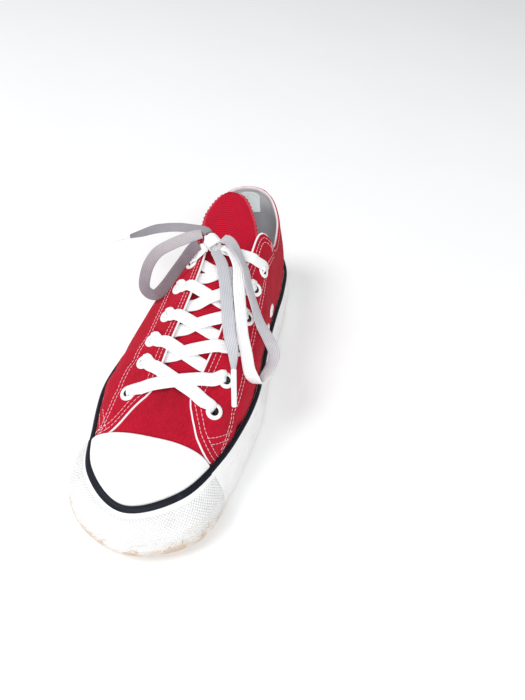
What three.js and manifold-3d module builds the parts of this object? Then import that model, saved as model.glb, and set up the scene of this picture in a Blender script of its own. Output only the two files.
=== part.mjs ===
// Low-cut canvas sneaker for the right foot, built as an assembly of separate pieces. Millimetres. +X is
// the inner side of the foot, -Y the toe, +Z up. The origin is on the floor, under the middle of the sole.
// The upper is a closed ring of ribs that runs round the last. Each rib starts at the band line, where
// canvas meets the top of the rubber, and ends on the rim of the collar and throat.
import * as THREE from "three";
import { mergeVertices } from "three/addons/utils/BufferGeometryUtils.js";
import Module from "manifold-3d";

const wasm = await Module();
wasm.setup();

// Driving sizes
const GAP = 0.3; // between pieces that touch on the real shoe
const SHIFT_X = 3.8; // brings the middle of the sole over the origin
const SHIFT_Y = 1.1;
const CANVAS_WALL = 2.0; // outer canvas, lining and cement together
const CAP_THICKNESS = 1.5;
const BUMPER_THICKNESS = 1.8;
const BUMPER_FROM = -87; // the toe bumper wraps everything in front of this line
const BUMPER_FADE = 14; // the sole's edge steps out to the bumper over this length
const BUMPER_LEVELS = [0.15, 0.5, 0.96]; // its top edge, middle and foot, as shares of the way down the band
const FOXING_LIP = 2.2; // the foxing band's thickness along its top edge
const FOXING_BULGE = 0.74; // how much of the flare is reached half way down the band
const INSOLE_THICKNESS = 3.0;
const TONGUE_THICKNESS = 2.4;
const FEATHER_Z = 14; // the upper's lower edge, over the flat of the sole
const FEATHER_TUCK = 3; // the upper turns in by this much below the band line
const OUTSOLE_THICKNESS = 5.2;
const TOE_SPRING = 6.5;
const SPRING_START_Y = -62;
const TOE_Y = -137;
const ARCH = { from: 6, to: 62, lift: 1.6 };
const LUG = { depth: 1.6, groove: 2.6, pitch: 9.5, margin: 8 };
const RING_STEPS = 72; // ribs round the shoe
const RING_CROWDING = 0.3; // how much closer than the average they stand at toe and heel
const RIB_STEPS = 8; // faces up a rib

// One row for each station from the middle of the heel to the tip of the toe. m is the inner side and l
// the outer. Band line: by, bm, bl, bz. Rim of collar and throat: ry, rm, rl, rz, and on the outer side it
// lies oy further back and oz higher. A rib leaves the band line towards its belly (bo out, bu up) and
// comes to the rim from its crest (co out, cy back, and up by cm or cl). The foot of the rubber stands out
// by fm or fl beyond the band line.
const STATION_COLUMNS = [
  "by", "bm", "bl", "bz", "ry", "rm", "rl", "rz", "oy", "oz", "bo", "bu", "co", "cy", "cm", "cl", "fm", "fl",
];
const STATIONS = [
  [131, 1.5, 1.5, 33, 132, -2, -2, 82, 0, 0, 1.5, 18, 0, 4, -22, -22, 5.5, 5.5], // heel
  [124, 20.5, -17.5, 32.4, 125, 13, -18.5, 80.5, 0, 0, 1, 18, 2.5, 2, -20, -20, 5.5, 5.5], // heelTurn
  [104, 32, -29, 31, 107, 24, -28, 74, 0, 0, 1, 16, 3, 1, -16, -16, 5.5, 5.5], // heelSide
  [78, 36, -33, 30, 86, 28, -31, 69, 0, 0, 1, 14, 3.5, -1, -14, -14, 5.5, 5.5], // ankle
  [50, 37, -37, 30, 69, 29, -29, 75, -3, -1, 1.5, 18, 4, -3, -18, -18, 5.5, 6], // shank
  [28, 38, -40.5, 30, 61, 26.5, -23.5, 88, -8, -3, 1.5, 22, 7, -6, -16, -18, 5.5, 7], // tabSide
  [10, 39.5, -43, 30.2, 56, 20.5, -14.5, 92, -9, -3.5, 1.5, 22, 13, -8, -14, -20, 6, 8.5], // tab
  [-8, 41.5, -45.3, 30.5, 32, 19.5, -10.5, 85, -3, -1, 1.5, 20, 16, -5, -6.5, -15.5, 6.5, 9.5], // instep
  [-28, 43, -47, 31, -4, 17.5, -10, 74.5, 0, 0, 1, 18, 17, -3, -7.5, -12.5, 7, 10.5], // waist
  [-52, 41.2, -46.5, 32, -36, 15.5, -11, 65, 0, 0, 0.5, 16, 16, -4, -5, -8, 7.5, 10], // ball
  [-80, 35, -38.8, 33.2, -60, 12.5, -9.5, 58, 0, 0, 0, 13, 14, -6, -5, -6, 10.5, 11.7], // corner
  [-107, 22, -28, 34.5, -65.5, 7, -4.5, 56.6, 0, 0, -1, 12, 8, -17, -8, -8, 17, 16], // toeSide
  [-122.5, -3, -3, 35.5, -66.5, 1, 1, 56.3, 0, 0, -2, 11.5, 0, -25.5, -11.8, -11.8, 13.5, 13.5], // toe
].map((row) => Object.fromEntries(STATION_COLUMNS.map((column, i) => [column, row[i]])));

// The tongue's top face from the end that is sewn under the vamp to its free top. drop is how far its
// edges lie below its middle, and tilt raises the inner edge and lowers the outer one.
const TONGUE = [
  { y: -75, x: -0.5, z: 50.0, half: 14, drop: 1.6, tilt: 0 },
  { y: -66, x: 0.5, z: 52.9, half: 17, drop: 2.4, tilt: 0 },
  { y: -58, x: 1.5, z: 55.4, half: 19, drop: 3.4, tilt: 0 },
  { y: -36, x: 2, z: 61.6, half: 22, drop: 5, tilt: 0.4 },
  { y: -4, x: 3.6, z: 70.8, half: 24, drop: 7, tilt: 0.8 },
  { y: 30, x: 4.5, z: 81, half: 24, drop: 9.4, tilt: 1 },
  { y: 46, x: 3.4, z: 88.5, half: 19.5, drop: 8.6, tilt: 0.6 },
  { y: 60, x: -0.5, z: 97, half: 19, drop: 5.5, tilt: 0 },
  { y: 68, x: -1.8, z: 101.8, half: 15.5, drop: 3.8, tilt: 0 },
  { y: 74, x: -2.4, z: 105.4, half: 10, drop: 1.6, tilt: 0 },
  { y: 76.6, x: -2.6, z: 106.9, half: 4.5, drop: 0.4, tilt: 0 },
];

// Lace holes from toe to ankle: the plan place of the inner (m) and outer (l) one of each pair. The two
// air holes are low on the inner side.
const EYELET = { outer: 4.8, hole: 2.3, height: 1.1, sides: 12 };
const EYELET_ROWS = [
  { mx: 27.4, my: -63, lx: -24.3, ly: -65 },
  { mx: 28.2, my: -43.5, lx: -22.8, ly: -44.6 },
  { mx: 28.5, my: -22, lx: -23.4, ly: -29 },
  { mx: 28.9, my: -0.5, lx: -20.5, ly: -11 },
  { mx: 27.9, my: 18.8, lx: -20.4, ly: 10.5 },
  { mx: 29.3, my: 36.5, lx: -18.2, ly: 29.8 },
];
const VENT_ROWS = [{ y: 36, z: 46 }, { y: 16, z: 46 }];

// Flat lace. It lies clear of what it crosses by lift. In the throat it starts inset from the rim, and
// rise above the tongue. The last crossing arches over the tongue's middle.
const LACE = { width: 8, thickness: 1.4, lift: 2.3, inset: 4, rise: 1.7, arch: 0.6, slope: 0.3 };

// The bow: its knot, and the loose stretches of lace, each a tube along a route. An end's route goes on to
// its tip.
const KNOT = { x: -3.3, y: 39, z: 91.7, wide: 11, deep: 10, high: 8 };
const TUBE = { radius: 2, sides: 8 };
const AGLET_RADIUS = 1.6;
const OUTER_LOOP = [
  [-11.4, 42.8, 94], [-18, 39, 92.5], [-27.5, 34, 88.5], [-36.5, 28, 83.5], [-40.5, 21, 77.5],
  [-41.5, 15, 70.5], [-40, 10, 66.5], [-36.5, 8, 64.5], [-31.5, 6, 66], [-28, 6, 69],
  [-24.5, 10, 73.5], [-22, 17, 77], [-18, 25, 83], [-14, 33, 88.5], [-10.8, 35.5, 90.5],
];
const INNER_LOOP = [
  [5.2, 37.5, 91.5], [12, 33.5, 92.5], [20, 21, 91], [24, 9, 86], [29, -4, 80], [34, -16, 72],
  [39, -24, 65], [43, -30, 57], [47, -31, 50.5], [49.5, -29.5, 47.5], [52.5, -21, 48], [54, -9, 52],
  [48, -4, 60.5], [41, 0, 68.5], [35, 6, 77.5], [29, 13, 85.5], [25.4, 19, 91.3], [19, 27, 95],
  [10, 37, 96.5], [3.6, 41.5, 95],
];
const OUTER_END = {
  route: [
    [-8, 47, 93], [-12, 49, 93], [-20, 49, 92], [-30, 50, 90], [-40, 52, 86], [-50, 54, 81], [-59, 54, 76],
    [-69, 55, 70],
  ],
  tip: [-88, 61, 58],
};
const INNER_END = {
  route: [
    [1.5, 32, 90.5], [9, 22, 89.5], [16, 7, 86], [22, -8, 81], [27, -20, 75], [32, -29, 69], [35, -37, 63],
  ],
  tip: [41, -55, 51.5],
};

const COLOURS = {
  canvas: [0x9e1026, 0.9, 0],
  ribbedCanvas: [0xa3122a, 0.92, 0],
  rubber: [0xf0efec, 0.45, 0],
  soleRubber: [0xcdb491, 0.7, 0],
  enamel: [0xf4f4f4, 0.3, 0.2],
  lining: [0xdfe6e3, 0.9, 0],
  cotton: [0xf2f2f2, 0.9, 0],
  plastic: [0xf6f6f6, 0.35, 0],
};

// Ring of stations: inner side from heel to toe, then outer side from toe to heel
function sideOf(row, inner) {
  const side = inner ? 1 : -1;
  return {
    bx: (inner ? row.bm : row.bl) + SHIFT_X,
    by: row.by + SHIFT_Y,
    bz: row.bz,
    rx: (inner ? row.rm : row.rl) + SHIFT_X,
    ry: row.ry + SHIFT_Y + (inner ? 0 : row.oy),
    rz: row.rz + (inner ? 0 : row.oz),
    bo: row.bo,
    bu: row.bu,
    cx: side * row.co,
    cy: row.cy,
    cz: inner ? row.cm : row.cl,
    flare: inner ? row.fm : row.fl,
  };
}

const RING = [
  ...STATIONS.map((row) => sideOf(row, true)),
  ...STATIONS.slice(1, -1).reverse().map((row) => sideOf(row, false)),
];

function smooth(a, b, c, d, t) {
  return b + 0.5 * t * (c - a + t * (2 * a - 5 * b + 4 * c - d + t * (3 * (b - c) + d - a)));
}

function station(u) {
  const count = RING.length;
  const place = (((u % 1) + 1) % 1) * count;
  const i = Math.floor(place);
  const near = [-1, 0, 1, 2].map((k) => RING[(i + k + count) % count]);
  const row = {};
  for (const key of Object.keys(RING[0])) row[key] = smooth(...near.map((r) => r[key]), place - i);
  return row;
}

function outward(u) {
  const step = 1e-4;
  const a = station(u - step);
  const b = station(u + step);
  return new THREE.Vector3(a.by - b.by, b.bx - a.bx, 0).normalize();
}

function toeLift(y) {
  const t = Math.max(0, (SPRING_START_Y - y) / (SPRING_START_Y - TOE_Y));
  return TOE_SPRING * t * t;
}

function archLift(y) {
  const t = (y - ARCH.from) / (ARCH.to - ARCH.from);
  return t > 0 && t < 1 ? ARCH.lift * Math.sin(Math.PI * t) ** 2 : 0;
}

function bandPoint(u, out = 0, down = 0) {
  const row = station(u);
  return new THREE.Vector3(row.bx, row.by, row.bz - down).addScaledVector(outward(u), out);
}

function featherPoint(u, out = 0) {
  const point = bandPoint(u, out - FEATHER_TUCK);
  point.z = FEATHER_Z + toeLift(point.y);
  return point;
}

// The upper's outer face. v from 0 to 1 goes up a rib, and v from -1 to 0 is the part behind the rubber.
function facePoint(u, v) {
  if (v < 0) return bandPoint(u).lerp(featherPoint(u), -v);
  const row = station(u);
  const foot = bandPoint(u);
  const rim = new THREE.Vector3(row.rx, row.ry, row.rz);
  const belly = bandPoint(u, row.bo).add(new THREE.Vector3(0, 0, row.bu));
  const crest = rim.clone().add(new THREE.Vector3(row.cx, row.cy, row.cz));
  return new THREE.CubicBezierCurve3(foot, belly, crest, rim).getPoint(v);
}

function faceNormal(u, v) {
  const du = 2e-3;
  const dv = 1e-2;
  const along = facePoint(u + du, v).sub(facePoint(u - du, v));
  const up = facePoint(u, Math.min(v + dv, 1)).sub(facePoint(u, Math.max(v - dv, -1)));
  return up.cross(along).normalize();
}

function upperPoint(u, v, lift = 0) {
  return facePoint(u, v).addScaledVector(faceNormal(u, v), lift);
}

// Where on the upper a place is: the u and v whose point is nearest to the target
function findOnUpper(distance, uFrom, uTo) {
  let best = { u: 0, v: 0, d: Infinity };
  let uSpan = uTo - uFrom;
  let vSpan = 1;
  let uMid = (uFrom + uTo) / 2;
  let vMid = 0.5;
  for (let round = 0; round < 6; round++) {
    for (let i = -6; i <= 6; i++) {
      for (let j = -6; j <= 6; j++) {
        const u = uMid + (uSpan * i) / 12;
        const v = Math.min(1, Math.max(0, vMid + (vSpan * j) / 12));
        const d = distance(facePoint(u, v));
        if (d < best.d) best = { u, v, d };
      }
    }
    uMid = best.u;
    vMid = best.v;
    uSpan /= 3;
    vSpan /= 3;
  }
  return best;
}

// Solids from grids of points
function solidFrom(faces) {
  const place = [];
  for (const [a, b, c, d] of faces) {
    for (const corner of d ? [a, b, c, a, c, d] : [a, b, c]) place.push(corner.x, corner.y, corner.z);
  }
  const loose = new THREE.BufferGeometry();
  loose.setAttribute("position", new THREE.Float32BufferAttribute(place, 3));
  const merged = mergeVertices(loose, 1e-4);
  const index = merged.index.array;
  const kept = [];
  for (let i = 0; i < index.length; i += 3) {
    const [a, b, c] = [index[i], index[i + 1], index[i + 2]];
    if (a !== b && b !== c && c !== a) kept.push(a, b, c);
  }
  merged.setIndex(kept);
  return volumeOf(merged) < 0 ? turnedInsideOut(merged) : merged;
}

function volumeOf(geometry) {
  const points = geometry.attributes.position;
  const index = geometry.index.array;
  const [a, b, c] = [new THREE.Vector3(), new THREE.Vector3(), new THREE.Vector3()];
  let sum = 0;
  for (let i = 0; i < index.length; i += 3) {
    a.fromBufferAttribute(points, index[i]);
    b.fromBufferAttribute(points, index[i + 1]);
    c.fromBufferAttribute(points, index[i + 2]);
    sum += a.dot(b.cross(c)) / 6;
  }
  return sum;
}

function turnedInsideOut(geometry) {
  const index = Array.from(geometry.index.array);
  for (let i = 0; i < index.length; i += 3) [index[i + 1], index[i + 2]] = [index[i + 2], index[i + 1]];
  geometry.setIndex(index);
  return geometry;
}

function bridge(faces, low, high) {
  for (let i = 0; i < low.length; i++) {
    const next = (i + 1) % low.length;
    faces.push([low[i], low[next], high[next], high[i]]);
  }
}

// Loops run round the shoe, and the last one joins the first
function ringSolid(loops) {
  const faces = [];
  loops.forEach((loop, k) => bridge(faces, loop, loops[(k + 1) % loops.length]));
  return solidFrom(faces);
}

// A lid over a loop: bars across from the inner side to the outer side, with their height from a function.
// Like the faces from bridge, it faces into the solid, and solidFrom turns the whole skin round.
function lid(faces, loop, height, bars, isTop) {
  const half = loop.length / 2;
  const crossbar = (i) => {
    const inner = loop[i];
    const outer = loop[(loop.length - i) % loop.length];
    const points = [inner];
    for (let k = 1; k < bars; k++) {
      const point = inner.clone().lerp(outer, k / bars);
      if (inner !== outer) point.z = height(point.x, point.y);
      points.push(point);
    }
    return [...points, outer];
  };
  for (let i = 0; i < half; i++) {
    const [a, b] = [crossbar(i), crossbar(i + 1)];
    for (let k = 0; k < bars; k++) {
      const quad = [a[k], a[k + 1], b[k + 1], b[k]];
      faces.push(isTop ? quad.reverse() : quad);
    }
  }
}

function plateSolid(loops, lowHeight, highHeight, bars = 6) {
  const faces = [];
  for (let k = 0; k + 1 < loops.length; k++) bridge(faces, loops[k], loops[k + 1]);
  lid(faces, loops[0], lowHeight, bars, false);
  lid(faces, loops[loops.length - 1], highHeight, bars, true);
  return solidFrom(faces);
}

// Ribs stand closer together at the toe and heel, where the ring turns most
function around(pointAt, steps = RING_STEPS) {
  return Array.from({ length: steps }, (_, i) => {
    const turn = i / steps;
    return pointAt(turn - (RING_CROWDING * Math.sin(4 * Math.PI * turn)) / (4 * Math.PI));
  });
}

function toManifold(geometry) {
  const plain = geometry.clone();
  plain.deleteAttribute("normal");
  plain.deleteAttribute("uv");
  const merged = mergeVertices(plain, 1e-4);
  return new wasm.Manifold(
    new wasm.Mesh({
      numProp: 3,
      vertProperties: new Float32Array(merged.attributes.position.array),
      triVerts: new Uint32Array(merged.index.array),
    }),
  );
}

function fromManifold(solid) {
  const mesh = solid.getMesh();
  const geometry = new THREE.BufferGeometry();
  geometry.setAttribute("position", new THREE.Float32BufferAttribute(mesh.vertProperties, 3));
  geometry.setIndex(Array.from(mesh.triVerts));
  return geometry;
}

// Rubber
function outsole() {
  const floor = (x, y) => toeLift(y) + archLift(y);
  const top = (x, y) => FEATHER_Z - GAP + toeLift(y);
  const edge = (z, out) =>
    around((u) => {
      const point = bandPoint(u, soleReach(u) + out);
      point.z = z + toeLift(point.y) + (z < 1 ? archLift(point.y) : 0);
      return point;
    });
  const core = (z) =>
    around((u) => {
      const point = featherPoint(u);
      point.z = z + toeLift(point.y);
      return point;
    });
  const plate = toManifold(
    plateSolid(
      [
        edge(0, -1.5), edge(0.9, -0.2), edge(OUTSOLE_THICKNESS, 0), core(OUTSOLE_THICKNESS), core(FEATHER_Z - GAP),
      ],
      floor, top,
    ),
  );
  return fromManifold(grooves().reduce((solid, groove) => solid.subtract(toManifold(groove)), plate));
}

// How far the sole's edge lies beyond the band line: out to the toe bumper's face in front
function soleReach(u) {
  const row = station(u);
  const share = THREE.MathUtils.smoothstep(BUMPER_FROM - row.by, 0, BUMPER_FADE);
  return row.flare + (BUMPER_THICKNESS + GAP) * share;
}

// Slots across the sole between the main lugs, under heel and forefoot
function grooves() {
  const shapes = [];
  for (const zone of [{ from: 74, to: 122 }, { from: -112, to: -4 }]) {
    for (let y = zone.from; y <= zone.to; y += LUG.pitch) {
      const [inner, outer] = soleWidth(y);
      const width = inner - outer - 2 * LUG.margin;
      const slot = new THREE.BoxGeometry(width, LUG.groove, 2 * LUG.depth);
      slot.translate((inner + outer) / 2, y, toeLift(y) + archLift(y));
      shapes.push(slot);
    }
  }
  return shapes;
}

function soleWidth(y) {
  const edge = around((u) => bandPoint(u, soleReach(u)), 400).filter((p) => Math.abs(p.y - y) < 2);
  const xs = edge.map((p) => p.x);
  return [Math.max(...xs), Math.min(...xs)];
}

function rubberFace(u, down, beyond = 0) {
  // the outer face of the foxing band, down from 0 at its top edge to 1 at its foot
  const row = station(u);
  const lip = FOXING_LIP + GAP;
  const share = down < 0.5 ? 2 * down * FOXING_BULGE : FOXING_BULGE + (2 * down - 1) * (1 - FOXING_BULGE);
  const point = bandPoint(u, lip + (row.flare - lip) * share + beyond);
  const foot = OUTSOLE_THICKNESS + GAP + toeLift(bandPoint(u, row.flare).y);
  point.z = row.bz + (foot - row.bz) * down;
  return point;
}

function foxing() {
  const innerFoot = around((u) => {
    const point = featherPoint(u, GAP);
    point.z = OUTSOLE_THICKNESS + GAP + toeLift(point.y);
    return point;
  });
  return ringSolid([
    innerFoot,
    around((u) => featherPoint(u, GAP)),
    around((u) => bandPoint(u, GAP)),
    around((u) => rubberFace(u, 0)),
    ...BUMPER_LEVELS.map((down) => around((u) => rubberFace(u, down))),
    around((u) => rubberFace(u, 1)),
  ]);
}

function planCutter(line, side) {
  // everything in front of a line across the shoe, from the floor up
  const shape = new THREE.Shape();
  shape.moveTo(90, -170);
  for (let x = 70; x >= -70; x -= 5) shape.lineTo(x, line(x));
  shape.lineTo(-90, -170);
  return new THREE.ExtrudeGeometry(shape, { depth: side, steps: 1, bevelEnabled: false });
}

const CAP_LINE = { y: -86.2, slope: 0.05, bow: 3.4, half: 40 };
function capLine(x) {
  const across = x - SHIFT_X;
  return CAP_LINE.y + CAP_LINE.slope * across - CAP_LINE.bow * (across / CAP_LINE.half) ** 2;
}
const bumperLine = () => BUMPER_FROM;

function toeBumper() {
  const skin = ringSolid([
    ...BUMPER_LEVELS.map((down) => around((u) => rubberFace(u, down, GAP))),
    ...[...BUMPER_LEVELS].reverse().map((down) => around((u) => rubberFace(u, down, GAP + BUMPER_THICKNESS))),
  ]);
  return fromManifold(toManifold(skin).intersect(toManifold(planCutter(bumperLine, 60))));
}

function toeCap() {
  const levels = [0.02, ...Array.from({ length: RIB_STEPS - 1 }, (_, j) => (j + 1) / RIB_STEPS)];
  const sheath = ringSolid([
    ...levels.map((v) => around((u) => upperPoint(u, v, GAP))),
    ...levels.reverse().map((v) => around((u) => upperPoint(u, v, GAP + CAP_THICKNESS))),
  ]);
  return fromManifold(toManifold(sheath).intersect(toManifold(planCutter(capLine, 80))));
}

// Cloth
function upper() {
  const levels = [-1, -0.5, ...Array.from({ length: RIB_STEPS + 1 }, (_, j) => j / RIB_STEPS)];
  return ringSolid([
    ...levels.map((v) => around((u) => upperPoint(u, v))),
    ...levels.reverse().map((v) => around((u) => upperPoint(u, v, -CANVAS_WALL))),
  ]);
}

function insole() {
  const edge = (z) =>
    around((u) => {
      const point = featherPoint(u, -CANVAS_WALL - 0.7);
      point.z = z + toeLift(point.y);
      return point;
    });
  const at = (z) => (x, y) => z + toeLift(y);
  const top = FEATHER_Z + INSOLE_THICKNESS;
  return plateSolid([edge(FEATHER_Z), edge(top)], at(FEATHER_Z), at(top), 4);
}

function tongueRow(t) {
  const place = t * (TONGUE.length - 1);
  const i = Math.min(Math.floor(place), TONGUE.length - 2);
  const near = [-1, 0, 1, 2].map((k) => TONGUE[Math.min(Math.max(i + k, 0), TONGUE.length - 1)]);
  const row = {};
  for (const key of Object.keys(TONGUE[0])) row[key] = smooth(...near.map((r) => r[key]), place - i);
  return row;
}

function tonguePoint(t, side, lift = 0) {
  const row = tongueRow(t);
  const x = row.x + SHIFT_X + side * row.half;
  return new THREE.Vector3(x, row.y + SHIFT_Y, row.z - row.drop * side * side + row.tilt * side + lift);
}

function tongue() {
  const along = 18;
  const across = 8;
  const grid = (lift) =>
    Array.from({ length: along + 1 }, (_, i) =>
      Array.from({ length: across + 1 }, (_, k) => tonguePoint(i / along, (2 * k) / across - 1, lift)),
    );
  return slab(grid(0), grid(-TONGUE_THICKNESS));
}

// A closed sheet between two grids of points
function slab(top, bottom) {
  const faces = [];
  const [rows, columns] = [top.length, top[0].length];
  for (let i = 0; i + 1 < rows; i++) {
    for (let k = 0; k + 1 < columns; k++) {
      faces.push([top[i][k], top[i][k + 1], top[i + 1][k + 1], top[i + 1][k]]);
      faces.push([bottom[i][k], bottom[i + 1][k], bottom[i + 1][k + 1], bottom[i][k + 1]]);
    }
  }
  const rim = [];
  for (let k = 0; k < columns; k++) rim.push([0, k]);
  for (let i = 1; i < rows; i++) rim.push([i, columns - 1]);
  for (let k = columns - 2; k >= 0; k--) rim.push([rows - 1, k]);
  for (let i = rows - 2; i > 0; i--) rim.push([i, 0]);
  rim.forEach(([i, k], n) => {
    const [j, m] = rim[(n + 1) % rim.length];
    faces.push([top[j][m], top[i][k], bottom[i][k], bottom[j][m]]);
  });
  return solidFrom(faces);
}

// Metal
function onUpperAt(x, y) {
  // the place on the upper's top over a plan point
  const target = new THREE.Vector2(x, y);
  const [uFrom, uTo] = x > SHIFT_X ? [0.2, 0.5] : [0.5, 0.8];
  return findOnUpper((p) => target.distanceTo(new THREE.Vector2(p.x, p.y)) + (p.z < 45 ? 50 : 0), uFrom, uTo);
}

function eyeletPlace(row, inner) {
  const { mx, my, lx, ly } = EYELET_ROWS[row];
  return inner ? onUpperAt(mx + SHIFT_X, my + SHIFT_Y) : onUpperAt(lx + SHIFT_X, ly + SHIFT_Y);
}

function ventPlace({ y, z }) {
  const target = new THREE.Vector2(y + SHIFT_Y, z);
  return findOnUpper((p) => target.distanceTo(new THREE.Vector2(p.y, p.z)), 0.1, 0.35);
}

function eyelet() {
  const { outer, hole, height, sides } = EYELET;
  const profile = [
    new THREE.Vector2(hole, 0),
    new THREE.Vector2(outer, 0),
    new THREE.Vector2(outer - 0.6, height * 0.7),
    new THREE.Vector2((outer + hole) / 2, height),
    new THREE.Vector2(hole, height * 0.8),
    new THREE.Vector2(hole, 0),
  ];
  const ring = new THREE.LatheGeometry(profile, sides);
  ring.rotateX(Math.PI / 2);
  return ring;
}

// Laces. Each crossing is two bands that run from one row of holes to the next. On the first one they
// start on top of the eyelets, and on the others they come out from under a facing. They end on top of the
// next eyelets, but on the last one they go back under the facings.
function rimPoint(y, inner) {
  let [back, front] = [inner ? 0.25 : 0.75, 0.5];
  for (let round = 0; round < 24; round++) {
    const middle = (back + front) / 2;
    if (facePoint(middle, 1).y > y) back = middle;
    else front = middle;
  }
  return facePoint(front, 1);
}

function tongueTop(x, y) {
  let [low, high] = [0, 1];
  for (let round = 0; round < 24; round++) {
    const middle = (low + high) / 2;
    if (tongueRow(middle).y + SHIFT_Y < y) low = middle;
    else high = middle;
  }
  const row = tongueRow(low);
  return tonguePoint(low, (x - row.x - SHIFT_X) / row.half).z;
}

function spotOnFace({ u, v }, lift) {
  return { point: upperPoint(u, v, lift), up: faceNormal(u, v) };
}

const overEyelet = (row, inner) =>
  spotOnFace(eyeletPlace(row, inner), EYELET.height + 4 * GAP + LACE.thickness / 2);

// How far along a straight line from one hole to another the rim lies, seen from above
function shareAtRim(from, to, inner, nearStart) {
  let [out, over] = nearStart ? [0, 0.5] : [1, 0.5];
  const side = inner ? 1 : -1;
  for (let round = 0; round < 20; round++) {
    const middle = (out + over) / 2;
    const place = from.clone().lerp(to, middle);
    if (side * (place.x - rimPoint(place.y, inner).x) > 0) out = middle;
    else over = middle;
  }
  return out;
}

function bandRoute(row, toInner) {
  const throatUp = new THREE.Vector3(0, -LACE.slope, 1).normalize();
  const [start, end] = [overEyelet(row, !toInner), overEyelet(row + 1, toInner)];
  const length = start.point.distanceTo(end.point);
  const overFacing = (share, lift) => {
    const place = start.point.clone().lerp(end.point, share);
    return spotOnFace(onUpperAt(place.x, place.y), lift);
  };
  const inThroat = (share, height) => {
    const point = start.point.clone().lerp(end.point, share);
    point.z = tongueTop(point.x, point.y) + height;
    return { point, up: throatUp };
  };
  const leaves = shareAtRim(start.point, end.point, !toInner, true);
  const meets = shareAtRim(start.point, end.point, toInner, false);
  const inset = LACE.inset / length;
  const startsOver = row === 0;
  const endsUnder = row === EYELET_ROWS.length - 2;
  const head = startsOver
    ? [start, overFacing(leaves / 2, LACE.lift), overFacing(leaves, LACE.lift)]
    : [inThroat(leaves + inset, LACE.rise)];
  const tail = endsUnder
    ? [inThroat((leaves + meets) / 2, LACE.rise + LACE.arch), inThroat(meets - inset, LACE.rise)]
    : [overFacing(meets, LACE.lift), overFacing((meets + 1) / 2, LACE.lift), end];
  return [...head, ...tail];
}

// A flat band through a few spots, each with the way that its face looks
function flatBand(spots, steps = 11) {
  const path = new THREE.CatmullRomCurve3(spots.map((spot) => spot.point));
  const faces = new THREE.CatmullRomCurve3(spots.map((spot) => spot.up));
  const grid = (lift) =>
    Array.from({ length: steps + 1 }, (_, i) => {
      const along = path.getTangent(i / steps);
      const across = along.clone().cross(faces.getPoint(i / steps)).normalize();
      const up = across.clone().cross(along);
      return [-0.5, 0.5].map((side) =>
        path.getPoint(i / steps).addScaledVector(across, side * LACE.width).addScaledVector(up, lift),
      );
    });
  return slab(grid(LACE.thickness / 2), grid(-LACE.thickness / 2));
}

function crossing(row) {
  const [one, other] = [true, false].map((toInner) => toManifold(flatBand(bandRoute(row, toInner))));
  return fromManifold(one.add(other));
}

// From the last outer eyelet, over both facings and under the knot, to the last inner eyelet
function topBar() {
  const row = EYELET_ROWS.length - 1;
  const [start, end] = [overEyelet(row, false), overEyelet(row, true)];
  const overFacing = (share) => {
    const place = start.point.clone().lerp(end.point, share);
    return spotOnFace(onUpperAt(place.x, place.y), LACE.lift);
  };
  const leaves = shareAtRim(start.point, end.point, false, true);
  const meets = shareAtRim(start.point, end.point, true, false);
  const underKnot = start.point.clone().lerp(end.point, leaves + (meets - leaves) / 3);
  underKnot.z = KNOT.z - KNOT.high / 2 - 2 * GAP - LACE.thickness / 2;
  const middle = { point: underKnot, up: new THREE.Vector3(0, -LACE.slope, 1).normalize() };
  const head = [start, overFacing(leaves / 2), overFacing(leaves)];
  return flatBand([...head, middle, overFacing(meets), overFacing((meets + 1) / 2), end]);
}

function knot() {
  const ball = new THREE.SphereGeometry(0.5, 14, 10);
  ball.scale(KNOT.wide, KNOT.deep, KNOT.high);
  ball.translate(KNOT.x, KNOT.y, KNOT.z);
  return ball;
}

function tube(route, steps) {
  const path = new THREE.CatmullRomCurve3(route.map((place) => new THREE.Vector3(...place)));
  const section = new THREE.Shape();
  section.absarc(0, 0, TUBE.radius, 0, 2 * Math.PI);
  const curveSegments = TUBE.sides / 2;
  return new THREE.ExtrudeGeometry(section, { steps, curveSegments, bevelEnabled: false, extrudePath: path });
}

// The stiff tip of a lace, beyond the end of its loose stretch
function aglet({ route, tip }) {
  const from = new THREE.Vector3(...route[route.length - 1]);
  const along = new THREE.Vector3(...tip).sub(from);
  const length = along.length() - GAP;
  const rod = new THREE.CylinderGeometry(AGLET_RADIUS, AGLET_RADIUS, length, TUBE.sides);
  rod.translate(0, length / 2 + GAP, 0);
  const rodAxis = new THREE.Vector3(0, 1, 0);
  rod.applyQuaternion(new THREE.Quaternion().setFromUnitVectors(rodAxis, along.normalize()));
  rod.translate(from.x, from.y, from.z);
  return rod;
}

const shoe = new THREE.Group();

function place(name, geometry, finish) {
  const [color, roughness, metalness] = COLOURS[finish];
  const mesh = new THREE.Mesh(geometry, new THREE.MeshStandardMaterial({ color, roughness, metalness }));
  mesh.name = name;
  shoe.add(mesh);
  return mesh;
}

place("outsole", outsole(), "soleRubber");
place("foxing", foxing(), "rubber");
place("toe_bumper", toeBumper(), "rubber");
place("toe_cap", toeCap(), "rubber");
place("insole", insole(), "lining");
place("upper", upper(), "canvas");
place("tongue", tongue(), "ribbedCanvas");

function placeEyelet(name, { u, v }) {
  const mesh = place(name, eyelet(), "enamel");
  mesh.position.copy(upperPoint(u, v, GAP));
  mesh.quaternion.setFromUnitVectors(new THREE.Vector3(0, 0, 1), faceNormal(u, v));
}

EYELET_ROWS.forEach((_, row) => {
  placeEyelet(`eyelet_inner_${row + 1}`, eyeletPlace(row, true));
  placeEyelet(`eyelet_outer_${row + 1}`, eyeletPlace(row, false));
});
VENT_ROWS.forEach((row, i) => placeEyelet(`air_hole_${i + 1}`, ventPlace(row)));

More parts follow.
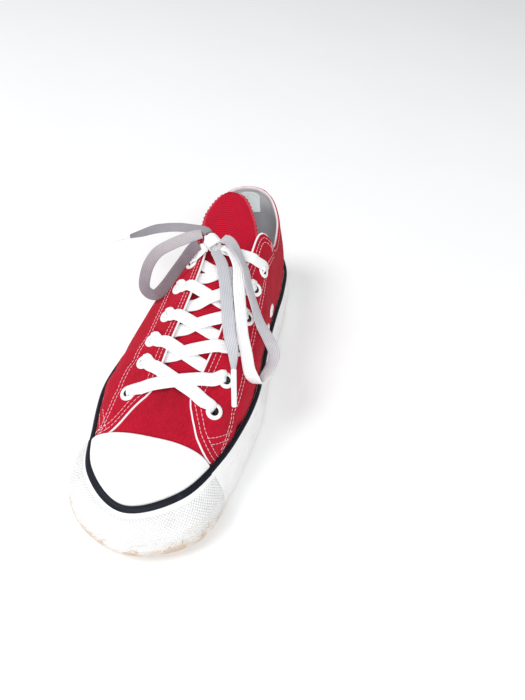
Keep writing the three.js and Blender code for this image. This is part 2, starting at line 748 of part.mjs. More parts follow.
for (let row = 0; row + 1 < EYELET_ROWS.length; row++) {
  place(`lace_crossing_${row + 1}`, crossing(row), "cotton");
}
place("lace_top_bar", topBar(), "cotton");
place("lace_knot", knot(), "cotton");
place("lace_loop_outer", tube(OUTER_LOOP, 20), "cotton");
place("lace_loop_inner", tube(INNER_LOOP, 30), "cotton");
place("lace_end_outer", tube(OUTER_END.route, 10), "cotton");
place("lace_end_inner", tube(INNER_END.route, 10), "cotton");
place("aglet_outer", aglet(OUTER_END), "plastic");
place("aglet_inner", aglet(INNER_END), "plastic");

export default shoe;
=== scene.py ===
"""Right canvas sneaker: canvas upper, rubber sole, ribbed tongue and flat laces tied in a bow."""

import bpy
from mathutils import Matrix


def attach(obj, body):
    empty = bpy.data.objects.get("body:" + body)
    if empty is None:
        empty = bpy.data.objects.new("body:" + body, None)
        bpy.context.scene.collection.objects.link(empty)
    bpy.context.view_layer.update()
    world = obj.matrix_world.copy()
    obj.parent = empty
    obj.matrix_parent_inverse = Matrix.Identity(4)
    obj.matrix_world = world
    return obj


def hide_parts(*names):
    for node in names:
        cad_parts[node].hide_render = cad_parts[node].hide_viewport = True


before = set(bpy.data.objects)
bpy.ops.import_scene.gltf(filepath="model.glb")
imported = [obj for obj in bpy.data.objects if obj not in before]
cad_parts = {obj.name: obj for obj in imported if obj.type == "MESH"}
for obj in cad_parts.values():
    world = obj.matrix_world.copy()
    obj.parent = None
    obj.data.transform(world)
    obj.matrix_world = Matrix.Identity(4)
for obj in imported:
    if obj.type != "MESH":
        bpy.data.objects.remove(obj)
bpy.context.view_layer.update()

import math

import bpy
import numpy as np
from mathutils import Matrix, Vector

MM = 0.001  # shapes are worked out in millimetres and stored in metres
GAP = 0.3  # left between neighbours that touch

# ---------------------------------------------------------------- the shoe's form
SHIFT = np.array([3.8, 1.1, 0.0])  # brings the middle of the sole over the origin
LACE_WIDTH, LACE_THICKNESS = 8.0, 1.3
LACE_SIDES = 16  # of its cross section
TONGUE_THICKNESS, TONGUE_RIB = 2.4, 1.35
INSOLE_THICKNESS = 3.0
# Lifts of the cloth layers' faces over the form of the foot
VAMP_FACE, VAMP_BACK, QUARTER_BACK, LINING_FACE, LINING_BACK = -0.9, -1.6, -0.95, -1.0, -2.0
ON_CANVAS, ON_HEEL_STAY = 0.02, 0.9
BELOW_CLOTH, BELOW_RIM, ABOVE_TONGUE = -3.1, -2.8, 1.3  # of laces that pass under a facing
FEATHER_Z = 14.0
FEATHER_TUCK = 3.0
OUTSOLE_THICKNESS = 5.2
TOE_SPRING, SPRING_START_Y, TOE_Y = 6.5, -62.0, -137.0
ARCH_FROM, ARCH_TO, ARCH_LIFT = 6.0, 62.0, 1.6
FOXING_LIP, FOXING_BULGE = 2.2, 0.74
BUMPER_FROM, BUMPER_THICKNESS = -87.0, 1.8
CAP_THICKNESS = 1.5

# A row for each station from the middle of the heel to the tip of the toe. m is the inner side, l the outer.
# Band line, where canvas meets the top of the rubber: by, bm, bl, bz. Rim of collar and throat: ry, rm, rl, rz,
# and on the outer side oy further back and oz higher. bo and bu lead a rib away from the band line. co, cy, and
# cm or cl bring it to the rim. The foot of the rubber stands out by fm or fl.
STATION_COLUMNS = "by bm bl bz ry rm rl rz oy oz bo bu co cy cm cl fm fl".split()
STATIONS = [
    (131, 1.5, 1.5, 33, 132, -2, -2, 82, 0, 0, 1.5, 18, 0, 4, -22, -22, 5.5, 5.5),
    (124, 20.5, -17.5, 32.4, 125, 13, -18.5, 80.5, 0, 0, 1, 18, 2.5, 2, -20, -20, 5.5, 5.5),
    (104, 32, -29, 31, 107, 24, -28, 74, 0, 0, 1, 16, 3, 1, -16, -16, 5.5, 5.5),
    (78, 36, -33, 30, 86, 28, -31, 69, 0, 0, 1, 14, 3.5, -1, -14, -14, 5.5, 5.5),
    (50, 37, -37, 30, 69, 29, -29, 75, -3, -1, 1.5, 18, 4, -3, -18, -18, 5.5, 6),
    (28, 38, -40.5, 30, 61, 26.5, -23.5, 88, -8, -3, 1.5, 22, 7, -6, -16, -18, 5.5, 7),
    (10, 39.5, -43, 30.2, 56, 20.5, -14.5, 92, -9, -3.5, 1.5, 22, 13, -8, -14, -20, 6, 8.5),
    (-8, 41.5, -45.3, 30.5, 32, 19.5, -10.5, 85, -3, -1, 1.5, 20, 16, -5, -6.5, -15.5, 6.5, 9.5),
    (-28, 43, -47, 31, -4, 17.5, -10, 74.5, 0, 0, 1, 18, 17, -3, -7.5, -12.5, 7, 10.5),
    (-52, 41.2, -46.5, 32, -36, 15.5, -11, 65, 0, 0, 0.5, 16, 16, -4, -5, -8, 7.5, 10),
    (-80, 35, -38.8, 33.2, -60, 12.5, -9.5, 58, 0, 0, 0, 13, 14, -6, -5, -6, 10.5, 11.7),
    (-107, 22, -28, 34.5, -65.5, 7, -4.5, 56.6, 0, 0, -1, 12, 8, -17, -8, -8, 17, 16),
    (-122.5, -3, -3, 35.5, -66.5, 1, 1, 56.3, 0, 0, -2, 11.5, 0, -25.5, -11.8, -11.8, 13.5, 13.5),
]

# The tongue's top face from the end sewn under the vamp to its free top
TONGUE = [  # y, x, z, half width, drop of the edges, tilt
    (-75, -0.5, 50.0, 14, 1.6, 0),
    (-66, 0.5, 52.9, 17, 2.4, 0),
    (-58, 1.5, 55.4, 19, 3.4, 0),
    (-36, 2, 61.6, 22, 5, 0.4),
    (-4, 3.6, 70.8, 24, 7, 0.8),
    (30, 4.5, 81, 24, 9.4, 1),
    (46, 3.4, 88.5, 19.5, 8.6, 0.6),
    (60, -0.5, 97, 19, 5.5, 0),
    (68, -1.8, 101.8, 15.5, 3.8, 0),
    (74, -2.4, 105.4, 10, 1.6, 0),
    (76.6, -2.6, 106.9, 4.5, 0.4, 0),
]

# Eyelets from toe to ankle: plan place of the inner and the outer one of each pair
EYELET_PLACES = [
    ((27.4, -63), (-24.3, -65)),
    ((28.2, -43.5), (-22.8, -44.6)),
    ((28.5, -22), (-23.4, -29)),
    ((28.9, -0.5), (-20.5, -11)),
    ((27.9, 18.8), (-20.4, 10.5)),
    ((29.3, 36.5), (-18.2, 29.8)),
]
AIR_HOLES = [(36, 46), (16, 46)]  # y and z
PIN_RADIUS = 2.75  # of the holes in the cloth

# Front edge of each quarter: how far round the shoe it lies at a height up the rib
FRONT_INNER = [(0, 0.424), (0.07, 0.4258), (0.36, 0.4317), (0.58, 0.4358), (0.78, 0.4342), (0.93, 0.428),
               (1, 0.413)]
FRONT_OUTER = [(0, 0.566), (0.25, 0.5608), (0.43, 0.5558), (0.56, 0.5575), (0.78, 0.568), (0.93, 0.574),
               (1, 0.588)]


def smooth(a, b, c, d, t):
    """From b to c on a smooth curve through all four, as t goes from 0 to 1."""
    return b + 0.5 * t * (c - a + t * (2 * a - 5 * b + 4 * c - d + t * (3 * (b - c) + d - a)))


def make_ring():
    row = dict(zip(STATION_COLUMNS, np.array(STATIONS, float).T))
    halves = []
    for side, m in ((1, "m"), (-1, "l")):
        shift = 0 if side > 0 else 1
        halves.append(np.stack([
            row["b" + m] + SHIFT[0], row["by"] + SHIFT[1], row["bz"],
            row["r" + m] + SHIFT[0], row["ry"] + SHIFT[1] + shift * row["oy"], row["rz"] + shift * row["oz"],
            row["bo"], row["bu"], side * row["co"], row["cy"], row["c" + m], row["f" + m],
        ], -1))
    inner, outer = halves
    return np.concatenate([inner, outer[-2:0:-1]])


RING = make_ring()
BAND, RIM, BELLY_OUT, BELLY_UP, CREST, FLARE = slice(0, 3), slice(3, 6), 6, 7, slice(8, 11), 11


def station(u):
    place = (np.asarray(u, float) % 1) * len(RING)
    i = np.floor(place).astype(int)
    near = [RING[(i + k) % len(RING)] for k in (-1, 0, 1, 2)]
    return smooth(*near, (place - i)[..., None])


def unit(v):
    return v / np.maximum(np.linalg.norm(v, axis=-1, keepdims=True), 1e-9)


def outward(u):
    a, b = station(np.asarray(u) - 1e-4), station(np.asarray(u) + 1e-4)
    return unit(np.stack([a[..., 1] - b[..., 1], b[..., 0] - a[..., 0], 0 * a[..., 0]], -1))


def toe_lift(y):
    t = np.maximum(0, (SPRING_START_Y - y) / (SPRING_START_Y - TOE_Y))
    return TOE_SPRING * t * t


def arch_lift(y):
    t = np.clip((y - ARCH_FROM) / (ARCH_TO - ARCH_FROM), 0, 1)
    return ARCH_LIFT * np.sin(np.pi * t) ** 2


def band_point(u, out=0.0):
    return station(u)[..., BAND] + outward(u) * np.asarray(out, float)[..., None]


def feather_point(u, out=0.0, z=FEATHER_Z):
    point = band_point(u, np.asarray(out) - FEATHER_TUCK)
    point[..., 2] = z + toe_lift(point[..., 1])
    return point


def face_point(u, v):
    """The upper's outer face: u goes round the shoe, v from 0 to 1 up a rib, and below 0 behind the rubber."""
    u, v = np.broadcast_arrays(np.asarray(u, float), np.asarray(v, float))
    row = station(u)
    foot, rim = row[..., BAND], row[..., RIM]
    belly = band_point(u, row[..., BELLY_OUT])
    belly[..., 2] += row[..., BELLY_UP]
    crest = rim + row[..., CREST]
    t = np.maximum(v, 0)[..., None]
    up = (1 - t) ** 3 * foot + 3 * (1 - t) ** 2 * t * belly + 3 * (1 - t) * t * t * crest + t ** 3 * rim
    low = foot + (feather_point(u) - foot) * np.clip(-v, 0, 1)[..., None]
    return np.where(v[..., None] < 0, low, up)


def face_normal(u, v):
    along = face_point(u + 2e-3, v) - face_point(u - 2e-3, v)
    top = np.maximum(np.asarray(v, float), 1)
    up = face_point(u, np.minimum(v + 1e-2, top)) - face_point(u, v - 1e-2)
    return unit(np.cross(up, along))


# Soft troughs across the vamp and quarters where the foot bends: y, slant across the shoe, half width and depth
CREASES = [(-58, 0.10, 3.2, 0.55), (-47, -0.16, 4.0, 0.7), (-33, 0.22, 4.5, 0.6), (-12, 0.35, 6.0, 0.5)]
# Slack of the sides above the foxing: y, half length and depth
SLACK = [(96, 11, 1.0), (70, 9, -0.5), (44, 12, 0.8), (14, 12, -0.5), (-24, 14, 0.6)]


def crease(point, v):
    x, y = point[..., 0] - SHIFT[0], point[..., 1]
    side = np.clip((np.abs(x) - 12) / 14, 0, 1)
    depth = 0 * x
    for at, slant, half, deep in CREASES:
        depth = depth - deep * np.exp(-((y - at - slant * x) / half) ** 2) * side
    belt = np.clip(np.sin(np.pi * np.clip(v, 0, 1)), 0, 1)
    for at, half, deep in SLACK:
        depth = depth - deep * np.exp(-((y - at) / half) ** 2) * belt * np.clip((np.abs(x) - 18) / 10, 0, 1)
    return depth


def upper_point(u, v, lift):
    point = face_point(u, v)
    lift = np.asarray(lift, float) + crease(point, v)
    return point + face_normal(u, v) * lift[..., None]


def on_upper(u, v, lift):
    """A place over the cloth, and the way that the cloth faces there."""
    return upper_point(u, v, lift), face_normal(u, v)


def rubber_face(u, down, beyond=0.0):
    """The outer face of the foxing, down from 0 at its top edge to 1 at its foot, and upright below it."""
    row = station(u)
    lip = FOXING_LIP + GAP
    if down < 0.5:
        share = 2 * down * FOXING_BULGE
    else:
        share = FOXING_BULGE + (2 * down - 1) * (1 - FOXING_BULGE)
    share = min(share, 1) + 0.05 * math.sin(math.pi * min(down, 1))
    point = band_point(u, lip + (row[..., FLARE] - lip) * share + beyond)
    foot = OUTSOLE_THICKNESS + GAP + toe_lift(band_point(u, row[..., FLARE])[..., 1])
    point[..., 2] = row[..., 2] + (foot - row[..., 2]) * down
    return point


def tongue_row(t):
    table = np.array(TONGUE, float)
    place = np.clip(np.asarray(t, float), 0, 1) * (len(table) - 1)
    i = np.minimum(np.floor(place).astype(int), len(table) - 2)
    near = [table[np.clip(i + k, 0, len(table) - 1)] for k in (-1, 0, 1, 2)]
    return smooth(*near, (place - i)[..., None])


def tongue_point(t, side, lift=0.0):
    row = tongue_row(t)
    side = np.asarray(side, float)
    x = row[..., 1] + SHIFT[0] + side * row[..., 3]
    z = row[..., 2] - row[..., 4] * side ** 2 + row[..., 5] * side + lift
    return np.stack([x, row[..., 0] + SHIFT[1] + 0 * side, z + 0 * x], -1)


def tongue_top(x, y):
    t = np.interp(y - SHIFT[1], tongue_row(np.linspace(0, 1, 400))[:, 0], np.linspace(0, 1, 400))
    row = tongue_row(t)
    side = (x - row[..., 1] - SHIFT[0]) / row[..., 3]
    return tongue_point(t, side)[..., 2]


SEARCH_U, SEARCH_V = np.meshgrid(np.linspace(0, 1, 2401), np.linspace(0, 1, 201), indexing="ij")
SEARCH_POINTS = face_point(SEARCH_U, SEARCH_V)


def place_on_upper(distance):
    i = np.unravel_index(np.argmin(distance(SEARCH_POINTS)), SEARCH_U.shape)
    return float(SEARCH_U[i]), float(SEARCH_V[i])


def over_plan(x, y):
    return place_on_upper(lambda p: np.hypot(p[..., 0] - x, p[..., 1] - y) + 50 * (p[..., 2] < 45))


def eyelet_uv(row, inner):
    x, y = EYELET_PLACES[row][0 if inner else 1]
    return over_plan(x + SHIFT[0], y + SHIFT[1])


def eased(x):
    """0 up to x = 0 and 1 from x = 1, with a soft start and end."""
    t = np.clip(x, 0, 1)
    return t * t * (3 - 2 * t)


def evened(values, reach):
    """Each value becomes the mean of its neighbours up to reach away."""
    count = 2 * reach + 1
    return np.convolve(np.pad(values, reach, "edge"), np.ones(count) / count, "valid")


def front_edge(v, inner):
    places = np.array(FRONT_INNER if inner else FRONT_OUTER)
    fine = np.linspace(0, 1, 60)
    rough = np.interp(fine, places[:, 0], places[:, 1])
    soft = evened(rough, 3)
    soft[-4:] = rough[-4:]
    return np.interp(v, fine, soft)


# ---------------------------------------------------------------- meshes
def new_piece(name, points, faces, finish, uv=None, replaces=(), smooth_angle=40):
    """A mesh piece that rides on the shoe. points and uv are in mm."""
    mesh = bpy.data.meshes.new(name)
    mesh.from_pydata((np.asarray(points, float).reshape(-1, 3) * MM).tolist(), [], faces)
    if uv is not None:
        flat = np.asarray(uv, float).reshape(-1, 2)
        layer = mesh.uv_layers.new(name="cloth")
        corners = np.zeros(len(mesh.loops), int)
        mesh.loops.foreach_get("vertex_index", corners)
        layer.data.foreach_set("uv", flat[corners].ravel())
    mesh.validate()
    piece = bpy.data.objects.new(name, mesh)
    bpy.context.collection.objects.link(piece)
    mesh.materials.append(finish)
    face_out(piece)
    bpy.ops.object.shade_smooth_by_angle(angle=math.radians(smooth_angle))
    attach(piece, "root")
    if replaces:
        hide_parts(*replaces)
    return piece


def pick(piece):
    bpy.ops.object.select_all(action="DESELECT")
    piece.select_set(True)
    bpy.context.view_layer.objects.active = piece


def face_out(piece, merge=1e-7):
    """Merges doubles and turns every face outwards."""
    pick(piece)
    bpy.ops.object.mode_set(mode="EDIT")
    bpy.ops.mesh.select_all(action="SELECT")
    bpy.ops.mesh.remove_doubles(threshold=merge)
    bpy.ops.mesh.normals_make_consistent(inside=False)
    bpy.ops.object.mode_set(mode="OBJECT")


def join_all(pieces):
    """One mesh of several."""
    bpy.ops.object.select_all(action="DESELECT")
    for piece in pieces:
        piece.select_set(True)
    bpy.context.view_layer.objects.active = pieces[0]
    bpy.ops.object.join()
    return bpy.context.object


def cut_away(piece, cutter):
    cut = piece.modifiers.new("cut", "BOOLEAN")
    cut.operation, cut.solver, cut.object = "DIFFERENCE", "EXACT", cutter
    pick(piece)
    bpy.ops.object.modifier_apply(modifier=cut.name)


def grid_faces(rows, columns, wrap_rows, wrap_columns=False):
    faces = []
    for i in range(rows if wrap_rows else rows - 1):
        j = (i + 1) % rows
        for k in range(columns if wrap_columns else columns - 1):
            m = (k + 1) % columns
            faces.append((i * columns + k, i * columns + m, j * columns + m, j * columns + k))
    return faces


def loop_solid(name, sections, finish, closed=False, uv=None, **where):
    """A solid through cross sections, each a closed loop. Its ends are capped, or joined if it is a ring."""
    sections = np.asarray(sections, float)
    rows, columns = sections.shape[:2]
    faces = grid_faces(rows, columns, wrap_rows=closed, wrap_columns=True)
    if not closed:
        half = columns // 2
        for start in (0, (rows - 1) * columns):
            for k in range(half - 1):
                faces.append((start + k, start + k + 1, start + columns - 2 - k, start + columns - 1 - k))
    return new_piece(name, sections, faces, finish, uv=uv, **where)


def lengths(points, axis):
    """How far each point of a grid or row is from the first, along the axis."""
    step = np.linalg.norm(np.diff(points, axis=axis), axis=-1)
    zero = np.zeros_like(np.take(step, [0], axis=axis))
    return np.concatenate([zero, np.cumsum(step, axis=axis)], axis=axis)


def read_along(at, reach, rows):
    """The rows' values at lengths between those of the rows."""
    return np.stack([np.interp(at, reach, rows[:, k]) for k in range(rows.shape[1])], -1)


def lengths_uv(along, across):
    return np.stack(np.broadcast_arrays(along[:, None], across), -1)


def grid_uv(grid, column):
    """Lengths along one column and across each row."""
    return lengths_uv(lengths(grid, 0)[:, column], lengths(grid, 1))


def panel(name, face, back, finish, uv=None, **where):
    """A panel between two grids of points, a row for each rib, with the same uv on both faces."""
    if uv is not None:
        uv = np.concatenate([uv, uv[:, ::-1]], 1)
    return loop_solid(name, np.concatenate([face, back[:, ::-1]], 1), finish, uv=uv, **where)


def cloth_sheet(name, u, v, outer, inner, finish, **where):
    """A cloth panel over the foot's form between two lifts."""
    face = upper_point(u, v, outer)
    uv = grid_uv(face, face.shape[1] // 2)
    return panel(name, face, upper_point(u, v, inner), finish, uv, **where)


def swept(path, across, up, wide, high):
    """Cross sections along a path. wide and high place their corners, for one section or for each."""
    wide, high = np.atleast_2d(wide)[..., None], np.atleast_2d(high)[..., None]
    return path[:, None] + across[:, None] * wide + up[:, None] * high


def curve_through(stops, count):
    """Even places along a smooth curve through the stops, with every column carried along."""
    stops = np.asarray(stops, float)
    ends = np.vstack([2 * stops[0] - stops[1], stops, 2 * stops[-1] - stops[-2]])
    fine = np.linspace(0, len(stops) - 1, 40 * len(stops))
    i = np.minimum(fine.astype(int), len(stops) - 2)
    dense = smooth(ends[i], ends[i + 1], ends[i + 2], ends[i + 3], (fine - i)[:, None])
    reach = lengths(dense[:, :3], 0)
    return read_along(np.linspace(0, reach[-1], count), reach, dense)


def flat_section(width, thickness):
    """A flat lace across: parallel faces and round edges."""
    angle = 2 * np.pi * (np.arange(LACE_SIDES) + 0.5) / LACE_SIDES
    c, s = np.cos(angle), np.sin(angle)
    return 0.5 * width * np.sign(c) * np.abs(c) ** 0.55, 0.5 * thickness * np.sign(s) * np.abs(s) ** 0.7


def ribbon(name, stops, finish, count, **where):
    """A flat lace. A stop is x, y, z, the way the lace's face looks, and its shares of width and thickness."""
    path = curve_through(stops, count)
    place, face, gather, swell = path[:, :3], path[:, 3:6], path[:, 6:7], path[:, 7:8]
    along = unit(np.gradient(place, axis=0))
    across = unit(np.cross(along, face))
    up = np.cross(across, along)
    wide, high = flat_section(LACE_WIDTH, LACE_THICKNESS)
    sections = swept(place, across, up, wide[None] * gather, high[None] * swell)
    uv = lengths_uv(lengths(place, 0), wide[None])
    return loop_solid(name, sections, finish, uv=uv, **where), place


def round_angles(sides):
    return 2 * np.pi * np.arange(sides) / sides


def edging(name, path, width, height, finish, facing, **where):
    """A bound edge: an oval bead along a path of points. facing is the way that height is measured."""
    along = unit(np.gradient(path, axis=0))
    up = unit(facing - along * (facing * along).sum(-1, keepdims=True))
    angle = round_angles(10)
    sections = swept(path, np.cross(along, up), up, 0.5 * width * np.cos(angle), 0.5 * height * np.sin(angle))
    uv = lengths_uv(lengths(path, 0), (0.5 * width * angle)[None])
    return loop_solid(name, sections, finish, uv=uv, **where)


# A thread from above and the side: shares of its length, width and height, six at its foot and two on its ridge
THREAD = [(-0.5, 0, 0.1), (-0.3, 0.5, 0.2), (0.3, 0.5, 0.2), (0.5, 0, 0.1), (0.3, -0.5, 0.2), (-0.3, -0.5, 0.2),
          (-0.28, 0, 1.0), (0.28, 0, 1.0)]
THREAD_FACES = [(0, 1, 6), (1, 2, 7, 6), (2, 3, 7), (3, 4, 7), (4, 5, 6, 7), (5, 0, 6), (5, 4, 3, 2, 1, 0)]
THREAD_HEIGHT, THREAD_SUNK = 0.26, 0.05
STITCH_PITCH = 2.6


def stitch_row(name, rows, finish, length=2.25, width=0.36):
    """Short threads along rows over the cloth, all in one mesh. A row is a lift and a list of u and v."""
    points, faces = [], []
    for lift, places in rows:
        places = np.asarray(places, float)
        count = len(places)
        uv = read_along(np.linspace(0, count - 1, 30 * count), np.arange(count), places)
        path, normal = on_upper(uv[:, 0], uv[:, 1], lift)
        reach = lengths(path, 0)
        middles = np.arange(STITCH_PITCH / 2, reach[-1], STITCH_PITCH)
        up = unit(read_along(middles, reach, normal))
        along = unit(read_along(middles + 0.5, reach, path) - read_along(middles - 0.5, reach, path))
        across = np.cross(along, up)
        for p, a, c, n in zip(read_along(middles, reach, path), along, across, up):
            first = len(points)
            for s, w, h in THREAD:
                points.append(p + a * s * length + c * w * width + n * (h * THREAD_HEIGHT - THREAD_SUNK))
            faces += [tuple(first + k for k in side) for side in THREAD_FACES]
    return new_piece(name, points, faces, finish, smooth_angle=60)


# ---------------------------------------------------------------- finishes
class Amount:
    """A socket in shader maths, with Python's operators."""

    def __init__(self, finish, socket):
        self.finish, self.socket = finish, socket

    def math(self, operation, *others):
        inputs = {i: value for i, value in enumerate((self, *others))}
        return self.finish.node("ShaderNodeMath", {"operation": operation}, inputs)

    def __add__(self, other):
        return self.math("ADD", other)

    def __sub__(self, other):
        return self.math("SUBTRACT", other)

    def __rsub__(self, other):
        return (self * -1) + other

    def __mul__(self, other):
        return self.math("MULTIPLY", other)

    __radd__, __rmul__ = __add__, __mul__

    def sin(self):
        return self.math("SINE")

    def size(self):
        return self.math("ABSOLUTE")

    def power(self, exponent):
        return self.math("POWER", exponent)

    def between(self, low, high):
        """0 at low, 1 at high, with a soft start and end."""
        inputs = {"Value": self, "From Min": low, "From Max": high}
        return self.finish.node("ShaderNodeMapRange", {"interpolation_type": "SMOOTHSTEP"}, inputs)


class Finish:
    """One procedural material."""

    def __init__(self, name, slot, **constants):
        self.material = bpy.data.materials.new(name)
        self.material.use_nodes = True
        self.tree = self.material.node_tree
        self.shader = self.tree.nodes["Principled BSDF"]
        for socket, value in constants.items():
            self.shader.inputs[socket.replace("_", " ")].default_value = value

    def node(self, kind, settings=None, inputs=None, output=0):
        node = self.tree.nodes.new(kind)
        for key, value in (settings or {}).items():
            setattr(node, key, value)
        for socket, value in (inputs or {}).items():
            self.join(node.inputs[socket], value)
        return Amount(self, node.outputs[output])

    def join(self, socket, value):
        if isinstance(value, Amount):
            self.tree.links.new(value.socket, socket)
        else:
            socket.default_value = value

    def give(self, **values):
        for socket, value in values.items():
            self.join(self.shader.inputs[socket.replace("_", " ")], value)

    def scaled(self, coords, scale):
        return self.node("ShaderNodeVectorMath", {"operation": "MULTIPLY"}, {0: coords, 1: scale})

    def place(self):
        """Object coordinates in mm."""
        return self.scaled(self.node("ShaderNodeTexCoord", output="Object"), (1000, 1000, 1000))

    def cloth(self):
        return self.node("ShaderNodeUVMap", {"uv_map": "cloth"})

    def axes(self, coords):
        node = self.node("ShaderNodeSeparateXYZ", None, {0: coords})
        return [Amount(self, output) for output in node.socket.node.outputs]

    def noise(self, coords, size, detail=2.0, stretch=(1, 1, 1)):
        """0 to 1, with blots about as large as size in mm."""
        inputs = {"Vector": self.scaled(coords, stretch), "Scale": 1 / size, "Detail": detail}
        return self.node("ShaderNodeTexNoise", None, inputs)

    def mix(self, share, one, other):
        one, other = ((*c, 1) if isinstance(c, tuple) else c for c in (one, other))
        return self.node("ShaderNodeMix", {"data_type": "RGBA"}, {0: share, 6: one, 7: other}, 2)

    def colour(self, share, one, other):
        self.give(Base_Color=self.mix(share, one, other))

    def relief(self, height, depth):
        """A bump whose height, from 0 to 1, stands for a depth in mm."""
        bump = self.node("ShaderNodeBump", None, {"Height": height, "Distance": depth * MM, "Strength": 1.0})
        self.give(Normal=bump)


def ridges(along, pitch):
    """Round ridges, pitch mm apart."""
    return (along * (math.pi / pitch)).sin().size()


def plain_weave(finish, coords, pitch):
    x, y, _ = finish.axes(coords)
    a, b = (x * (math.pi / pitch)).sin(), (y * (math.pi / pitch)).sin()
    over = (a * b).between(-0.4, 0.4)
    return a.size() * over + b.size() * (1 - over)


def make_canvas(name, slot, lit, deep, ribs=None):
    """Dyed cotton canvas: a plain weave, or crosswise ribs, with faded and darker patches."""
    finish = Finish(name, slot, Roughness=0.9, Sheen_Weight=0.06, Sheen_Roughness=0.5,
                    Sheen_Tint=(1, 0.4, 0.4, 1), Specular_IOR_Level=0.1)
    coords = finish.cloth()
    weave = plain_weave(finish, coords, 0.85)
    if ribs:
        _, along, _ = finish.axes(coords)
        weave = weave * 0.35 + ridges(along, ribs) * 0.65
    patches = finish.noise(finish.place(), 14, 3)
    slubs = finish.noise(coords, 1.7, 3, (0.3, 1.3, 1))
    if ribs:
        tone = weave * 0.7 + patches * 0.35 + slubs * 0.1
    else:
        tone = weave * 0.3 + patches * 0.35 + slubs * 0.5
    finish.colour(tone.between(0.25, 0.78), deep, lit)
    finish.give(Roughness=0.95 - weave * 0.12)
    finish.relief(weave * 0.8 + slubs * 0.5, 0.3 if ribs else 0.22)
    return finish.material


def make_lining():
    finish = Finish("pale cotton twill", "lining", Roughness=0.9, Sheen_Weight=0.1, Specular_IOR_Level=0.15)
    x, y, _ = finish.axes(finish.cloth())
    twill = ridges(x + y, 0.9)
    place = finish.place()
    _, _, z = finish.axes(place)
    # Painted shade: the lining is darker lower inside the shoe and lighter up towards the rim, over random
    # patches.
    worn = finish.noise(place, 22, 3) * 0.5 + z.between(56, 84) * 0.6
    finish.colour(worn.between(0.2, 0.85), (0.32, 0.32, 0.345), (0.62, 0.63, 0.64))
    finish.relief(twill, 0.12)
    return finish.material


def make_tape(name, colour, shade):
    """Bound edges and tape: a fine weave across."""
    finish = Finish(name, "lining", Roughness=0.85, Sheen_Weight=0.2, Specular_IOR_Level=0.25)
    x, _, _ = finish.axes(finish.cloth())
    grain = ridges(x, 0.7)
    blots = finish.noise(finish.place(), 9, 3)
    finish.colour(blots.between(0.3, 0.75), shade, colour)
    finish.relief(grain, 0.1)
    return finish.material


def make_white_rubber(name, grime, texture=False):
    """White rubber with scuffs, and grime low down at the toe."""
    finish = Finish(name, "white_rubber", Roughness=0.42, Specular_IOR_Level=0.45)
    place = finish.place()
    _, y, z = finish.axes(place)
    scuffs = finish.noise(place, 7, 4, (0.35, 0.5, 2.2)).between(0.60, 0.74)
    blots = finish.noise(place, 18, 3)
    clean = finish.mix(blots.between(0.35, 0.7), (0.86, 0.855, 0.845), (0.93, 0.93, 0.925))
    worn = finish.mix(scuffs * 0.5, clean, (0.66, 0.63, 0.66))
    specks = finish.noise(place, 1.2, 3, (0.45, 1, 1.6)).between(0.52, 0.62)
    low = 1 - (z - 8).between(3, 22)
    ahead = 1 - y.between(-122, -80)
    patches = finish.noise(place, 11, 3).between(0.40, 0.60)
    edge_wear = 1 - (z - 8).between(0, 10)
    soil = (specks * (0.2 + patches * 0.6) * low + edge_wear * (0.45 + patches * 0.4)) * ahead * grime
    finish.colour(soil.between(0, 1), worn, (0.60, 0.45, 0.32))
    finish.give(Roughness=0.34 + scuffs * 0.25 + soil * 0.3)
    grain = finish.noise(place, 0.8, 2)
    height = grain * 0.3 + blots * 0.4
    if texture:
        u, v, _ = finish.axes(finish.cloth())
        diamonds = ridges(u + v, 2.2) * ridges(u - v, 2.2)
        height = height + diamonds.power(0.5) * 1.2
    finish.relief(height, 0.36 if texture else 0.12)
    return finish.material


def make_sole_rubber():
    finish = Finish("tan sole rubber", "sole_rubber", Roughness=0.7, Specular_IOR_Level=0.35)
    place = finish.place()
    blots = finish.noise(place, 12, 4)
    dust = finish.noise(place, 2.2, 3).between(0.5, 0.75)
    base = finish.mix(blots.between(0.3, 0.7), (0.50, 0.36, 0.22), (0.66, 0.50, 0.34))
    finish.colour(dust * 0.5, base, (0.36, 0.31, 0.27))
    finish.give(Roughness=0.6 + dust * 0.3)
    finish.relief(blots + dust * 0.5, 0.25)
    return finish.material


def make_stripe():
    finish = Finish("navy stripe", "white_rubber", Roughness=0.6, Specular_IOR_Level=0.2)
    place = finish.place()
    wear = finish.noise(place, 5, 4).between(0.55, 0.8)
    finish.colour(wear, (0.006, 0.007, 0.014), (0.016, 0.018, 0.030))
    finish.give(Roughness=0.55 + wear * 0.2)
    finish.relief(finish.noise(place, 1.2), 0.06)
    return finish.material


def make_insole():
    finish = Finish("insole cloth", "lining", Roughness=0.9, Sheen_Weight=0.15, Specular_IOR_Level=0.2)
    place = finish.place()
    x, y, _ = finish.axes(place)
    grain = ridges(x, 0.8) * ridges(y, 0.8)
    worn = finish.noise(place, 20, 3)
    finish.colour(worn.between(0.3, 0.7), (0.74, 0.84, 0.82), (0.88, 0.95, 0.93))
    finish.relief(grain, 0.12)
    return finish.material


